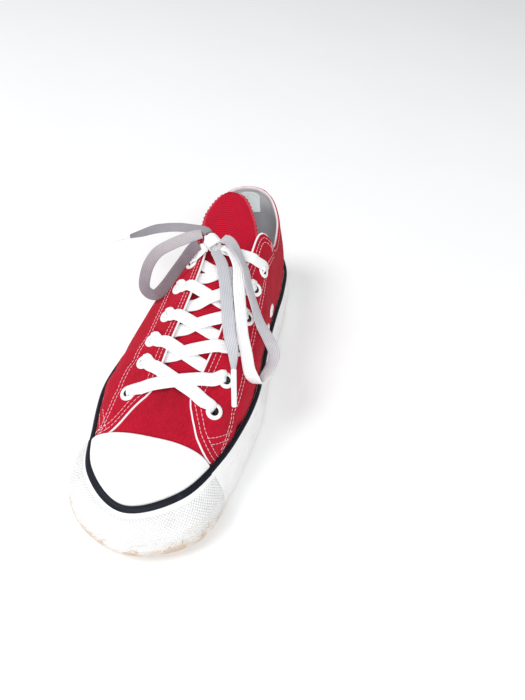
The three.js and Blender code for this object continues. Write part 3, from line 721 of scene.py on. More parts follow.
def make_lace_cotton(name, start_colour, shaded_colour, turn=None):
    """Flat woven lace: cords along it and a herringbone between. Between the two lengths of turn it goes over
    to its second colour, which is painted shade.
    """
    finish = Finish(name, "cotton_lace", Roughness=0.88, Sheen_Weight=0.12, Specular_IOR_Level=0.15)
    along, across, _ = finish.axes(finish.cloth())
    cords = ridges(across, 1.15)
    picks = ridges(along + across.size(), 0.8)
    soft = finish.noise(finish.place(), 6, 3)
    tone = (cords * 0.5 + picks * 0.2 + soft * 0.4).between(0.2, 0.85)
    cotton = finish.mix(tone, tuple(0.72 * c for c in start_colour), start_colour)
    if turn:
        # Painted shade: along these lengths the lace takes its second, shaded colour.
        other = finish.mix(tone, tuple(0.5 * c for c in shaded_colour), shaded_colour)
        cotton = finish.mix(along.between(*turn), cotton, other)
    finish.give(Base_Color=cotton)
    finish.relief(cords * 0.8 + picks * 0.4, 0.26)
    return finish.material


def make_enamel():
    """White flange with a few chips, and the barrel painted near black as the shade inside the hole."""
    finish = Finish("white enamel", "enamel", Roughness=0.25, Specular_IOR_Level=0.6, Coat_Weight=0.4,
                    Coat_Roughness=0.15)
    chips = finish.noise(finish.place(), 1.8, 4).between(0.66, 0.72)
    from_axis, height, _ = finish.axes(finish.cloth())
    # Painted shade: the barrel's inside is near black, as the hole is dark.
    barrel = (1 - height.between(0.1, 0.9)) * (1 - from_axis.between(2.65, 2.85))
    flange = finish.mix(chips, (0.88, 0.88, 0.88), (0.42, 0.40, 0.38))
    finish.colour(barrel, flange, (0.02, 0.02, 0.023))
    finish.give(Roughness=0.22 + chips * 0.4)
    finish.relief(1 - chips, 0.05)
    return finish.material


def make_thread(name, slot, colour, shade):
    finish = Finish(name, slot, Roughness=0.8, Sheen_Weight=0.2)
    twist = finish.noise(finish.place(), 0.7, 2)
    finish.colour(twist.between(0.3, 0.7), shade, colour)
    finish.relief(twist, 0.08)
    return finish.material


def make_lace_tip():
    finish = Finish("white lace tip", "lace_tip", Roughness=0.28, Specular_IOR_Level=0.55, Coat_Weight=0.3)
    scratches = finish.noise(finish.place(), 2.5, 3, (1, 1, 0.3)).between(0.6, 0.75)
    finish.colour(scratches, (0.90, 0.90, 0.90), (0.72, 0.72, 0.72))
    finish.give(Roughness=0.25 + scratches * 0.25)
    return finish.material


def make_floor():
    finish = Finish("pale floor", None, Roughness=0.6, Specular_IOR_Level=0.3)
    soft = finish.noise(finish.place(), 160, 3)
    finish.colour(soft, (0.90, 0.90, 0.895), (0.94, 0.94, 0.935))
    return finish.material


RED = make_canvas("red canvas", "canvas", (0.54, 0.009, 0.032), (0.26, 0.003, 0.012))
RED_RIBS = make_canvas("red ribbed canvas", "ribbed_canvas", (0.50, 0.008, 0.030), (0.17, 0.001, 0.008),
                       TONGUE_RIB)
LINING = make_lining()
BINDING = make_tape("pale binding", (0.86, 0.80, 0.82), (0.74, 0.64, 0.67))
EDGE_TAPE = make_tape("white edge tape", (0.92, 0.90, 0.90), (0.84, 0.76, 0.78))
WHITE = make_white_rubber("white foxing rubber", grime=0.35)
CAP_WHITE = make_white_rubber("white cap rubber", grime=0.1)
BUMPER_WHITE = make_white_rubber("textured bumper rubber", texture=True, grime=1.0)
TAN = make_sole_rubber()
NAVY = make_stripe()
INSOLE = make_insole()
COTTON = make_lace_cotton("white lace cotton", (0.97, 0.97, 0.97), (0.90, 0.90, 0.90))
# The bow's white lace carries painted shade: the outer loop and both ends are grey, and the inner loop's return
# strand darker, where they face away from the light.
OUTER_LOOP_SHADED_COTTON = make_lace_cotton("outer loop cotton in painted shade", (0.52, 0.48, 0.505), (0.27, 0.215, 0.245), (14, 70))
INNER_LOOP_SHADED_COTTON = make_lace_cotton("inner loop cotton with painted shade", (0.97, 0.97, 0.97), (0.62, 0.60, 0.63), (92, 122))
OUTER_END_SHADED_COTTON = make_lace_cotton("outer lace end cotton in painted shade", (0.36, 0.335, 0.365), (0.30, 0.28, 0.31), (20, 60))
INNER_END_SHADED_COTTON = make_lace_cotton("inner lace end cotton in painted shade", (0.56, 0.56, 0.60), (0.66, 0.66, 0.70), (40, 80))
ENAMEL = make_enamel()
WHITE_THREAD = make_thread("white thread", "cotton_lace", (0.86, 0.66, 0.70), (0.70, 0.42, 0.48))
RED_THREAD = make_thread("red thread", "ribbed_canvas", (0.62, 0.03, 0.06), (0.28, 0.004, 0.015))
TIP = make_lace_tip()


# ---------------------------------------------------------------- camera, then the loose laces
def set_camera():
    """Above and in front of the toe, a little to the inner side, looking at the laces."""
    azimuth, elevation, roll = (math.radians(a) for a in (9.916, 47.13, 6.041))
    data = bpy.data.cameras.new("camera")
    data.lens, data.sensor_width = 27, 36
    camera = bpy.data.objects.new("camera", data)
    turn = Matrix.Rotation(azimuth, 3, "Z") @ Matrix.Rotation(math.pi / 2 - elevation, 3, "X")
    camera.matrix_world = Matrix.Translation(Vector((84.754, -230.996, 297.308)) * MM) @ (
        turn @ Matrix.Rotation(roll, 3, "Z")).to_4x4()
    bpy.context.collection.objects.link(camera)
    bpy.context.scene.camera = camera


set_camera()

KNOT = np.array([-3.3, 39, 91.7])

# Loose stretches of lace: x, y, z of a stop, and the way that the lace's face looks there
OUTER_LOOP = [
    (-11.4, 42.8, 94, 0.1, -0.4, 0.9), (-18, 39, 92.5, 0.2, -0.5, 0.8), (-27.5, 34, 88.5, 0.3, -0.6, 0.7),
    (-36.5, 28, 83.5, 0.2, -0.7, 0.6), (-40.5, 21, 77.5, 0.1, -0.7, 0.5), (-41.5, 15, 70.5, 0.1, -0.8, 0.4),
    (-40, 10, 66.5, 0.1, -0.8, 0.3), (-36.5, 8, 64.5, 0.2, -0.8, 0.4), (-31.5, 6, 66, 0.4, -0.8, 0.5),
    (-28, 6, 69, 0.5, -0.7, 0.5), (-24.5, 10, 73.5, 0.6, -0.7, 0.4), (-22, 17, 77, 0.6, -0.7, 0.4),
    (-18, 25, 83, 0.6, -0.7, 0.4), (-14, 33, 88.5, 0.4, -0.6, 0.6), (-10.8, 35.5, 90.5, 0.2, -0.5, 0.8),
]
INNER_LOOP = [
    (5.2, 37.5, 91.5, 0.2, -0.3, 1), (12, 33.5, 92.5, 0.3, -0.2, 1), (20, 21, 91, 0.4, -0.1, 1),
    (24, 9, 86, 0.4, -0.3, 1), (29, -4, 80, 0.5, -0.4, 1), (34, -16, 72, 0.5, -0.5, 0.9),
    (39, -24, 65, 0.5, -0.6, 0.8), (43, -30, 57, 0.5, -0.8, 0.5), (47, -31, 50.5, 0.2, -1, -0.2),
    (49.5, -29.5, 47.5, 0.3, -0.7, -0.9), (52.5, -21, 48, 0.3, 0, -1), (54, -9, 52, 0.2, 0.4, -0.9),
    (48, -4, 60.5, -0.5, 0.5, -0.6), (41, 0, 68.5, -0.8, 0.4, -0.35), (35, 6, 77.5, -0.9, 0.3, -0.25),
    (29, 13, 85.5, -0.9, 0.3, -0.25), (25.4, 19, 91.3, -0.9, 0.35, -0.25), (19, 27, 95, -0.8, 0.4, -0.35),
    (10, 37, 96.5, -0.5, 0.5, -0.6), (3.6, 41.5, 95, -0.4, 0.5, -0.6),
]
OUTER_END = [
    (-8, 47, 93, 0, 0.2, 1), (-12, 49, 93, 0, 0, 1), (-20, 49, 92, -0.1, -0.2, 1),
    (-30, 50, 90, -0.2, -0.3, 1),
    (-40, 52, 86, -0.4, -0.4, 1), (-50, 54, 81, -0.4, -0.5, 1), (-59, 54, 76, -0.4, -0.5, 1),
    (-69, 55, 70, -0.4, -0.5, 1),
]
INNER_END = [
    (1.5, 32, 90.5, 0.1, -0.2, 1), (9, 22, 89.5, 0.2, -0.4, 1), (16, 7, 86, 0.2, -0.6, 0.8),
    (22, -8, 81, 0.2, -0.7, 0.7), (27, -20, 75, 0.2, -0.7, 0.7), (32, -29, 69, 0.2, -0.7, 0.7),
    (35, -37, 63, 0.2, -0.7, 0.7),
]
OUTER_TIP, INNER_TIP = (-88, 61, 58), (41, -55, 51.5)


def with_width(stops):
    """Adds the shares of width and thickness to each stop: a loose lace is a little narrower at its ends."""
    shares = [0.8] + [0.94] * (len(stops) - 2) + [0.8]
    return [(*stop, share, 1.0) for stop, share in zip(stops, shares)]


def lay_loose(name, rows, finish, count):
    return ribbon(name, rows, finish, count, replaces=[name.replace("bow_", "lace_")])


def make_loop(name, stops, finish, count):
    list(lay_loose(name, with_width(stops), finish, count))


def make_tip(name, start, end, node):
    """The moulded tip of a lace: a tube with a rolled front edge and a flattened root."""
    start, end = np.array(start, float), np.array(end, float)
    share = np.array([0, 0.02, 0.08, 0.5, 0.93, 0.98, 1.0])
    radius = np.array([1.5, 1.75, 1.7, 1.65, 1.6, 1.45, 0.9])
    along = unit(end - start)
    across = unit(np.cross(along, (0, 0, 1)))
    up = np.cross(across, along)
    angle = round_angles(20)
    ring = across[None] * np.cos(angle)[:, None] + up[None] * np.sin(angle)[:, None] * 0.85
    sections = start + (end - start) * share[:, None, None] + ring[None] * radius[:, None, None]
    return loop_solid(name, sections, TIP, replaces=[node])


def make_end(name, stops, finish, tip, aglet_name):
    """A lace end, pressed together as it goes into its tip."""
    rows = with_width(stops)
    rows[-2] = (*rows[-2][:6], 0.8, 1.1)
    rows[-1] = (*rows[-1][:6], 0.36, 1.9)
    end, path = lay_loose(name, rows, finish, 70)
    aglet = make_tip(aglet_name + "_tip", stops[-1][:3], tip, aglet_name)


def make_loose_laces():
    make_loop("bow_loop_outer", OUTER_LOOP, OUTER_LOOP_SHADED_COTTON, 120)
    make_loop("bow_loop_inner", INNER_LOOP, INNER_LOOP_SHADED_COTTON, 180)
    make_end("bow_end_outer", OUTER_END, OUTER_END_SHADED_COTTON, OUTER_TIP, "aglet_outer")
    make_end("bow_end_inner", INNER_END, INNER_END_SHADED_COTTON, INNER_TIP, "aglet_inner")


make_loose_laces()

# ---------------------------------------------------------------- canvas upper
def crowded(count, ends):
    """0 to 1 in even steps, closer together at both ends."""
    t = np.linspace(0, 1, count)
    return t - ends * np.sin(2 * np.pi * t) / (2 * np.pi)


def vamp_point(u, v, lift):
    """The vamp goes on past the rim and comes down on the tongue."""
    point = upper_point(u, np.minimum(v, 1.3), lift)
    share = eased((v - 1.0) / 0.28)
    rest = tongue_top(point[..., 0], point[..., 1]) + 0.25 + np.asarray(lift) * 0.2
    point[..., 2] = point[..., 2] * (1 - share) + rest * share
    return point


def grid(rows, columns):
    return np.meshgrid(rows, columns, indexing="ij")


def make_vamp():
    """Front canvas, which runs under the quarters and passes into the tongue."""
    u, s = grid(np.linspace(0.365, 0.635, 150), crowded(70, 0.3))
    top = 0.96 + 0.32 * eased((0.095 - np.abs(u - 0.5)) / 0.03)
    v = -0.4 + s * (top + 0.4)
    face, back = vamp_point(u, v, VAMP_FACE), vamp_point(u, v, VAMP_BACK)
    panel("vamp_canvas", face, back, RED, grid_uv(face, 20), replaces=["upper"])


def make_quarters():
    foot = -0.35
    for inner, name in ((True, "quarter_inner"), (False, "quarter_outer")):
        s, w = grid(np.linspace(0, 1, 150), crowded(60, 0.5))
        v = foot + w * (1 - foot)
        front = front_edge(np.clip(v, 0, 1), inner)
        u = s * front if inner else 1 - s * (1 - front)
        turned_in = -0.45 * np.clip((v - 0.985) / 0.015, 0, 1) ** 2
        cloth_sheet(name, u, v, turned_in, QUARTER_BACK, RED, replaces=["upper"])


def line_upper():
    u, v = grid(np.linspace(-0.411, 0.412, 240), np.linspace(-0.95, 0.995, 50))
    cloth_sheet("canvas_lining", u, v, LINING_FACE, LINING_BACK, LINING)


def make_heel_stay():
    half = 0.026
    u, v = grid(np.linspace(-half, half, 40), np.linspace(-0.2, 0.985, 60))
    side = np.clip((half - np.abs(u)) / 0.002, 0, 1)
    cloth_sheet("heel_stay", u, v, 0.1 + 0.75 * np.sqrt(side), -0.1, RED)


def make_collar_binding():
    """From tab to tab round the heel, folded over the rim."""
    u = np.linspace(0.238, -0.238, 260)
    path, below = (upper_point(u, v + 0 * u, -1.75) for v in (1.0, 0.97))
    up = unit(path - below)
    edging("collar_binding", path - up * 0.9, 1.8, 3.4, BINDING, up)


def below_rim(u, inset, count):
    """How far up a rib the cloth lies that is inset mm below the rim."""
    heights = np.linspace(1, 0.5, count)
    return float(np.interp(inset, lengths(face_point(u, heights), 0), heights))


def facing_places(inner, inset, start=0.195):
    """Places along the facing from the tab to the toe and down the quarter's front edge, inset in mm."""
    def behind_front(v):
        u = float(front_edge(v, True) if inner else 1 - front_edge(v, False))
        at, near = ((u, u - 0.01) if inner else (1 - u, 1.01 - u))
        width = np.linalg.norm(face_point(at, v) - face_point(near, v))
        return u - 0.01 * inset / max(width, 1e-6)

    rim = []
    for u in np.linspace(start, 0.43, 150):
        corner = below_rim(u if inner else 1 - u, inset, 200)
        if u > behind_front(corner):
            break
        rim.append((u, corner))
    front = [(behind_front(v), v) for v in np.linspace(corner, 0.02, 75)]
    places = np.array(rim + front[1:])
    if not inner:
        places[:, 0] = 1 - places[:, 0]
    return places


def make_facing_edges():
    """White lining edge that shows along the throat and down the front of each quarter."""
    for inner, name in ((True, "edge_inner"), (False, "edge_outer")):
        places = facing_places(inner, 0.0, 0.236)
        path = upper_point(places[:, 0], places[:, 1], -0.75)
        even = curve_through(np.concatenate([path, places], 1)[::3], 260)
        path, normal = even[:, :3], face_normal(even[:, 3], np.clip(even[:, 4], 0, 1))
        along = unit(np.gradient(path, axis=0))
        facing = unit(np.cross(along, normal)) * (1 if inner else -1)
        edging(name, path + facing * 0.15, 1.4, 1.4, EDGE_TAPE, facing)


# Lower stay line on each side, from the collar tab down to the corner of the cap
STAY_INNER = [(0.185, 0.86), (0.215, 0.76), (0.25, 0.69), (0.292, 0.655), (0.3175, 0.59), (0.34, 0.52),
              (0.363, 0.435), (0.385, 0.325), (0.399, 0.2), (0.412, 0.04)]
STAY_OUTER = [(0.81, 0.86), (0.785, 0.76), (0.745, 0.69), (0.712, 0.66), (0.662, 0.655), (0.628, 0.60),
              (0.608, 0.545), (0.59, 0.467), (0.5775, 0.385), (0.567, 0.27), (0.572, 0.05)]
# Short rows across the corner below the stay
BARS_INNER = [[(0.425, 0.46), (0.3925, 0.125)], [(0.4217, 0.33), (0.3985, 0.08)]]
BARS_OUTER = [[(0.5605, 0.40), (0.592, 0.25)], [(0.5620, 0.30), (0.588, 0.16)]]


def beside(places, distance):
    """A row of surface places moved sideways over the cloth by a distance in mm."""
    line = curve_through(np.concatenate([face_point(*np.array(places, float).T), np.array(places)], 1), 80)
    u, v = line[:, 3], line[:, 4]
    aside = unit(np.cross(np.gradient(line[:, :3], axis=0), face_normal(u, v))) * distance
    by_u = (face_point(u + 1e-3, v) - face_point(u - 1e-3, v)) / 2e-3
    by_v = (face_point(u, v + 1e-2) - face_point(u, v - 1e-2)) / 2e-2
    steps = [np.linalg.lstsq(np.stack([a, b], 1), c, rcond=None)[0] for a, b, c in zip(by_u, by_v, aside)]
    return np.stack([u, v], -1) + np.array(steps)


def make_stitching():
    """Double rows on facings and stays, their bars, and single rows round the collar and by the heel stay."""
    lines = []
    for inner, stay, bars in ((True, STAY_INNER, BARS_INNER), (False, STAY_OUTER, BARS_OUTER)):
        lines += [facing_places(inner, inset) for inset in (2.9, 6.0)]
        lines += [beside(stay, distance) for distance in (-1.2, 1.2)] + bars
    lines.append([(u, below_rim(u, 2.6, 100)) for u in np.linspace(-0.195, 0.195, 160)])
    rows = [(ON_CANVAS, line) for line in lines]
    for u in (-0.0215, 0.0215):
        rows.append((ON_HEEL_STAY, [(u, v) for v in np.linspace(0.04, 0.95, 30)]))
    stitch_row("white_stitching", rows, WHITE_THREAD)


def make_tacks():
    """A close zigzag of thread at the back of each tab."""
    rows = []
    for u, side in ((0.203, 0.004), (0.797, -0.004)):
        for v in 0.955 - 0.012 * np.arange(9):
            rows.append((0.05, [(u - side, v), (u + side, v - 0.006)]))
    stitch_row("tab_tacks", rows, WHITE_THREAD, length=2.4, width=0.5)


# ---------------------------------------------------------------- tongue and insole
def tongue_trim(t, side):
    """The cloth is cut a little narrower at the inner side of its free end."""
    side = np.asarray(side, float)
    return side * (0.985 - 0.13 * np.clip((t - 0.55) * 4, 0, 1) * (side > 0))


def make_tongue():
    """Ribbed tongue: a crowned sheet whose edges are rounded."""
    t, s = grid(np.linspace(0.02, 1, 330), np.linspace(-1, 1, 44))
    along = lengths(tongue_point(t, s), 0)
    rib = 0.26 * np.abs(np.sin(np.pi * along / TONGUE_RIB))
    edge = np.sqrt(np.clip((1 - np.abs(s)) / 0.06, 0, 1))
    cushion = TONGUE_THICKNESS * (0.62 + 0.38 * edge)
    ripple = 0.35 * np.sin(along / 11 + 1.2 * s) * np.clip((t - 0.5) * 4, 0, 1)
    trim = tongue_trim(t, s)
    face = tongue_point(t, trim, ripple - TONGUE_THICKNESS * 0.5 + cushion * 0.5 + rib)
    back = tongue_point(t, trim, ripple - TONGUE_THICKNESS * 0.5 - cushion * 0.5)
    uv = np.stack([lengths(face, 1), along], -1)
    panel("tongue_ribbed", face, back, RED_RIBS, uv, replaces=["tongue"])


def make_tongue_edge():
    """Overlocked edge: thread wound over the cloth, as a scalloped bead."""
    t = np.linspace(0.4, 1, 200)
    sides = [tongue_point(t, tongue_trim(t, np.full(200, side)), -TONGUE_THICKNESS / 2) for side in (1, -1)]
    path = curve_through(np.concatenate([sides[0], sides[1][::-1]])[::4], 700)
    along = unit(np.gradient(path, axis=0))
    across = unit(np.cross(along, (0.0, -0.25, 1.0)))
    radius = 0.7 + 1.1 * np.abs(np.sin(np.pi * lengths(path, 0) / 2.7)) ** 0.7
    angle = round_angles(10)
    wide, high = radius[:, None] * np.cos(angle), 1.45 * np.sin(angle)
    sections = swept(path, across, np.cross(across, along), wide, high)
    loop_solid("tongue_overlock", sections, RED_THREAD)


def lay_insole():
    """Cloth from the rim in to a line down the middle, a little dished."""
    ribs, rings = 200, 24
    top_z = FEATHER_Z + INSOLE_THICKNESS
    rim = feather_point(np.linspace(0, 1, ribs, endpoint=False), -2.7, top_z)
    spine_y = rim[:, 1] * 0.86 + 1.0
    spine_x = np.interp(spine_y, [-110, -30, 40, 110], [-1, 1, 6, 5])
    share = np.linspace(0, 1, rings)[None, :, None]
    spine = np.stack([spine_x, spine_y, 0 * spine_y], -1)
    top = rim[:, None] * (1 - share) + spine[:, None] * share
    dished = 0.7 * np.sin(np.pi * np.minimum(share[..., 0] * 1.6, 1) / 2)
    top[..., 2] = top_z + toe_lift(top[..., 1]) - dished
    lower = rim - (0, 0, INSOLE_THICKNESS - 0.1)
    sections = np.concatenate([lower[:, None], top], 1)
    faces = grid_faces(ribs, rings + 1, wrap_rows=True)
    new_piece("insole_cloth", sections, faces, INSOLE, replaces=["insole"])


def make_heel_patch():
    """Plain cloth on the lining at the back of the heel."""
    s, t = grid(np.linspace(-1, 1, 60), np.linspace(-1, 1, 40))
    u = -0.011 + 0.023 * s
    v = 0.755 + 0.175 * t * np.sqrt(1 - 0.42 * np.abs(s) ** 3)
    cloth_sheet("heel_patch", u, v, -2.05, -2.4, INSOLE)


# ---------------------------------------------------------------- rubber
def round_u(count):
    """Places all round the shoe, closer together at heel and toe."""
    t = np.arange(count) / count
    return t - 0.25 * np.sin(4 * np.pi * t) / (4 * np.pi)


def make_foxing():
    """The band round the sole: a rounded lip above, flared below."""
    u = round_u(420)
    flare = station(u)[:, FLARE]
    sole_top = OUTSOLE_THICKNESS + GAP
    inside = band_point(u, flare - 1.0)
    inside[:, 2] = sole_top + toe_lift(inside[:, 1])
    loops = [inside, feather_point(u, GAP, sole_top), feather_point(u, GAP), band_point(u, GAP)]
    loops += [rubber_face(u, down, -back) for down, back in ((0.0, 0.9), (0.004, 0.4), (0.014, 0.12))]
    loops += [rubber_face(u, down) for down in np.linspace(0.035, 1, 22)]
    for rise, back in ((2.6, 0.0), (1.9, 0.1), (1.6, 0.4), (1.6, 1.0)):
        foot = band_point(u, flare - back)
        foot[:, 2] = rise + toe_lift(foot[:, 1]) + arch_lift(foot[:, 1])
        loops.append(foot)
    sections = np.stack(loops, 1)
    loop_solid("foxing_band", sections, WHITE, closed=True, replaces=["foxing"])


def stripe_loops(u, extra):
    """The stripe's cross sections, over the top edge of the foxing and a little down its side."""
    loops = []
    for out, rise in ((0.45, 0.35), (0.8, 0.8)):
        loops.append(band_point(u, out) + (0, 0, rise + extra * 0.8))
    for down, out, rise in ((0.0, -0.5, 0.65), (0.006, 0.1, 0.2), (0.015, 0.3, 0), (0.028, 0.35, 0),
                            (0.036, 0.3, 0), (0.041, 0.1, 0)):
        loops.append(rubber_face(u, down * (1 + extra), out + extra) + (0, 0, rise + extra * 0.8))
    for down, out in ((0.035, -0.4), (0.015, -0.5)):
        loops.append(rubber_face(u, down * (1 + extra), out))
    return np.stack(loops, 1)


def make_stripe_band():
    """Navy strip round the shoe, and a second one over it round the toe."""
    loop_solid("navy_band", stripe_loops(round_u(420), 0.0), NAVY, closed=True)
    start, end = bumper_ends()
    u = np.linspace(start + 0.002, end - 0.002, 160)
    loop_solid("navy_toe_band", stripe_loops(u, 0.2), NAVY)


def bumper_ends():
    inner, outer = np.linspace(0.38, 0.5, 4000), np.linspace(0.5, 0.62, 4000)
    return (float(np.interp(-BUMPER_FROM, -band_point(inner)[:, 1], inner)),
            float(np.interp(BUMPER_FROM, band_point(outer)[:, 1], outer)))


def make_bumper():
    """Second, textured strip round the toe."""
    start, end = bumper_ends()
    u = np.linspace(start, end, 260)
    from_end = np.minimum(u - start, end - u)
    thick = BUMPER_THICKNESS * np.sqrt(np.clip(from_end / 0.0015, 0, 1))
    thick = thick * (0.25 + 0.75 * np.sin(0.5 * np.pi * np.clip(from_end / 0.045, 0, 1)))
    downs = np.concatenate([[0.15, 0.153, 0.162, 0.18], np.linspace(0.21, 1.11, 30), [1.12, 1.13, 1.135]])
    swell = np.concatenate([[0.0, 0.55, 0.86, 0.97], np.ones(30), [0.86, 0.5, 0.0]])
    loops = [rubber_face(u, down, 0.06 + thick * s) for down, s in zip(downs, swell)]
    loops += [rubber_face(u, down, 0.02) for down in downs[-2:0:-3]]
    sections = np.stack(loops, 1)
    loop_solid("bumper_strip", sections, BUMPER_WHITE, uv=grid_uv(sections, 15), replaces=["toe_bumper"])


def cap_line(x):
    """y of the cap's back edge."""
    x = x - SHIFT[0]
    return -86.2 + 0.05 * x - 3.4 * (x / 40) ** 2


def make_cap():
    """Smooth cap over the toe, with a rounded back edge."""
    span = np.linspace(0.38, 0.62, 2400)
    inside = span[band_point(span)[:, 1] < cap_line(band_point(span)[:, 0])]
    ends = (inside[0] + 0.0004, inside[-1] - 0.0004)
    u = ends[0] + (ends[1] - ends[0]) * crowded(170, 0.55)
    heights = np.linspace(0, 1, 400)
    ribs = face_point(u[:, None], heights[None])
    top = evened(heights[np.argmax(ribs[..., 1] > cap_line(ribs[..., 0]), 1)], 2)
    foot = 0.012
    v = foot + crowded(60, 0.5)[None] * (top - foot)[:, None]
    u = u[:, None] + 0 * v
    face, normal = face_point(u, v), face_normal(u, v)
    from_back = lengths(face[:, ::-1], 1)[:, ::-1]
    round_edge = np.sqrt(np.clip(1 - (1 - np.clip(from_back / CAP_THICKNESS, 0, 1)) ** 2, 0, 1))
    under_stripe = np.sin(0.5 * np.pi * np.clip(lengths(face, 1) / 4.0, 0, 1))
    lift = GAP + (CAP_THICKNESS - GAP) * round_edge * (0.1 + 0.9 * under_stripe)
    panel("cap_rubber", face + normal * lift[..., None], face + normal * (-0.6), CAP_WHITE,
          replaces=["toe_cap"])


def make_outsole():
    """Tan sole plate with slots between its main lugs."""
    u = round_u(360)
    # The plate's edge from the floor up: height, and how far it stands out
    profile = [(0, -1.5), (0.25, -0.7), (0.9, -0.2), (2.5, 0), (4.6, 0), (5.1, -0.3), (OUTSOLE_THICKNESS, -0.9)]
    loops = []
    for z, out in profile:
        loop = band_point(u, station(u)[:, FLARE] - 1.2 + out)
        loop[:, 2] = z + toe_lift(loop[:, 1]) + (arch_lift(loop[:, 1]) if z < 1 else 0)
        loops.append(loop)
    points = np.stack(loops, 1).reshape(-1, 3).tolist()
    columns, half, bars = len(profile), len(u) // 2, 12
    faces = grid_faces(len(u), columns, wrap_rows=True)
    for column in (0, columns - 1):
        rows = []
        for i in range(half + 1):
            a, b = i * columns + column, ((len(u) - i) % len(u)) * columns + column
            if a == b:
                rows.append([a] * (bars + 1))
                continue
            row = [a]
            for k in range(1, bars):
                x, y, _ = np.array(points[a]) * (1 - k / bars) + np.array(points[b]) * k / bars
                rise = OUTSOLE_THICKNESS if column else arch_lift(y)
                points.append([x, y, float(rise + toe_lift(y))])
                row.append(len(points) - 1)
            rows.append(row + [b])
        for one, other in zip(rows, rows[1:]):
            for k in range(bars):
                face = list(dict.fromkeys((one[k], one[k + 1], other[k + 1], other[k])))
                if len(face) > 2:
                    faces.append(tuple(face))
    sole = new_piece("sole_plate", points, faces, TAN, replaces=["outsole"], smooth_angle=35)
    cut_slots(sole)


def cut_slots(sole):
    """Cuts the slots under heel and forefoot with one mesh of bars."""
    depth, groove, pitch, margin = 1.6, 2.6, 9.5, 8.0
    around = round_u(400)
    rim = band_point(around, station(around)[:, FLARE])
    cutters = []
    for y in (*np.arange(74, 122.1, pitch), *np.arange(-112, -3.9, pitch)):
        near = rim[np.abs(rim[:, 1] - y) < 2.5, 0]
        width = near.max() - near.min() - 2 * margin
        bpy.ops.object.select_all(action="DESELECT")
        bpy.ops.mesh.primitive_cube_add(size=1)
        bar = bpy.context.object
        middle = Vector(((near.max() + near.min()) / 2, y, float(toe_lift(y) + arch_lift(y)))) * MM
        size = Matrix.Diagonal((width * MM, groove * MM, 2 * depth * MM, 1))
        bar.data.transform(Matrix.Translation(middle) @ size)
        cutters.append(bar)
    cutter = join_all(cutters)
    cut_away(sole, cutter)
    bpy.data.objects.remove(cutter, do_unlink=True)
    bpy.ops.object.shade_smooth_by_angle(angle=math.radians(35))


# ---------------------------------------------------------------- eyelets
def make_eyelet_mesh():
    """A domed flange that turns down into its barrel, spun from its profile. Its uv is radius and height."""
    profile = [(2.6, -1.6), (2.6, 0.75), (2.8, 1.02), (3.2, 1.12), (3.9, 1.05), (4.6, 0.72), (5.0, 0.25),
               (5.0, 0.05), (2.95, 0.05), (2.95, -1.6)]
    mesh = bpy.data.meshes.new("eyelet")
    ring = [(r * MM, 0, z * MM) for r, z in profile]
    mesh.from_pydata(ring, [(i, (i + 1) % len(ring)) for i in range(len(ring))], [])
    piece = bpy.data.objects.new("eyelet", mesh)
    bpy.context.collection.objects.link(piece)
    pick(piece)
    bpy.ops.object.mode_set(mode="EDIT")
    bpy.ops.mesh.select_all(action="SELECT")
    bpy.ops.mesh.spin(steps=36, angle=2 * math.pi, center=(0, 0, 0), axis=(0, 0, 1))
    bpy.ops.object.mode_set(mode="OBJECT")
    face_out(piece, 1e-6)
    layer = mesh.uv_layers.new(name="cloth")
    for corner, place in zip(mesh.loops, layer.data):
        x, y, z = mesh.vertices[corner.vertex_index].co / MM
        place.uv = (math.hypot(x, y), z)
    mesh.materials.append(ENAMEL)
    bpy.ops.object.shade_smooth_by_angle(angle=math.radians(50))
    return piece


def stand_on(u, v, lift):
    """Stands a shape's Z axis on the cloth."""
    place, normal = on_upper(u, v, lift)
    turn = Vector(normal.tolist()).to_track_quat("Z", "Y").to_matrix().to_4x4()
    return Matrix.Translation(Vector(place.tolist()) * MM) @ turn


def all_holes():
    holes = []
    for row in range(len(EYELET_PLACES)):
        for inner, side in ((True, "inner"), (False, "outer")):
            holes.append((f"eyelet_{side}_{row + 1}", eyelet_uv(row, inner)))
    for i, (y, z) in enumerate(AIR_HOLES):
        y += SHIFT[1]
        near = place_on_upper(lambda p: np.hypot(p[..., 1] - y, p[..., 2] - z) + 90 * (p[..., 0] < 0))
        holes.append((f"air_hole_{i + 1}", near))
    return holes


def make_eyelets():
    pattern = make_eyelet_mesh()
    for name, (u, v) in all_holes():
        ring = pattern.copy()
        ring.data = pattern.data.copy()
        ring.name = name + "_ring"
        ring.data.transform(stand_on(u, v, 0.05))
        bpy.context.collection.objects.link(ring)
        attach(ring, "root")
        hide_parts(name)
    bpy.data.objects.remove(pattern, do_unlink=True)


def punch_holes(names):
    """Cuts the eyelet holes through the cloth with one mesh of pins."""
    pins = []
    for _, (u, v) in all_holes():
        bpy.ops.object.select_all(action="DESELECT")
        bpy.ops.mesh.primitive_cylinder_add(vertices=24, radius=PIN_RADIUS * MM, depth=7 * MM)
        bpy.context.object.data.transform(stand_on(u, v, 0))
        pins.append(bpy.context.object)
    cutter = join_all(pins)
    for name in names:
        cut_away(bpy.data.objects[name], cutter)
    bpy.data.objects.remove(cutter, do_unlink=True)


# ---------------------------------------------------------------- laced part
def eyelet_stop(row, inner, lift, ahead=0.0):
    """A place above an eyelet, moved towards the throat by ahead mm."""
    u, v = eyelet_uv(row, inner)
    heights = np.linspace(v - 0.1, 1, 120)
    reach = lengths(face_point(u, heights), 0)
    v = float(np.interp(np.interp(v, heights, reach) + ahead, reach, heights))
    return on_upper(u, v, lift)


def rim_place(y, inner):
    u = np.linspace(0.25 if inner else 0.75, 0.5, 800)
    rim = face_point(u, np.ones_like(u))
    return rim[np.argmin(np.abs(rim[:, 1] - y))]


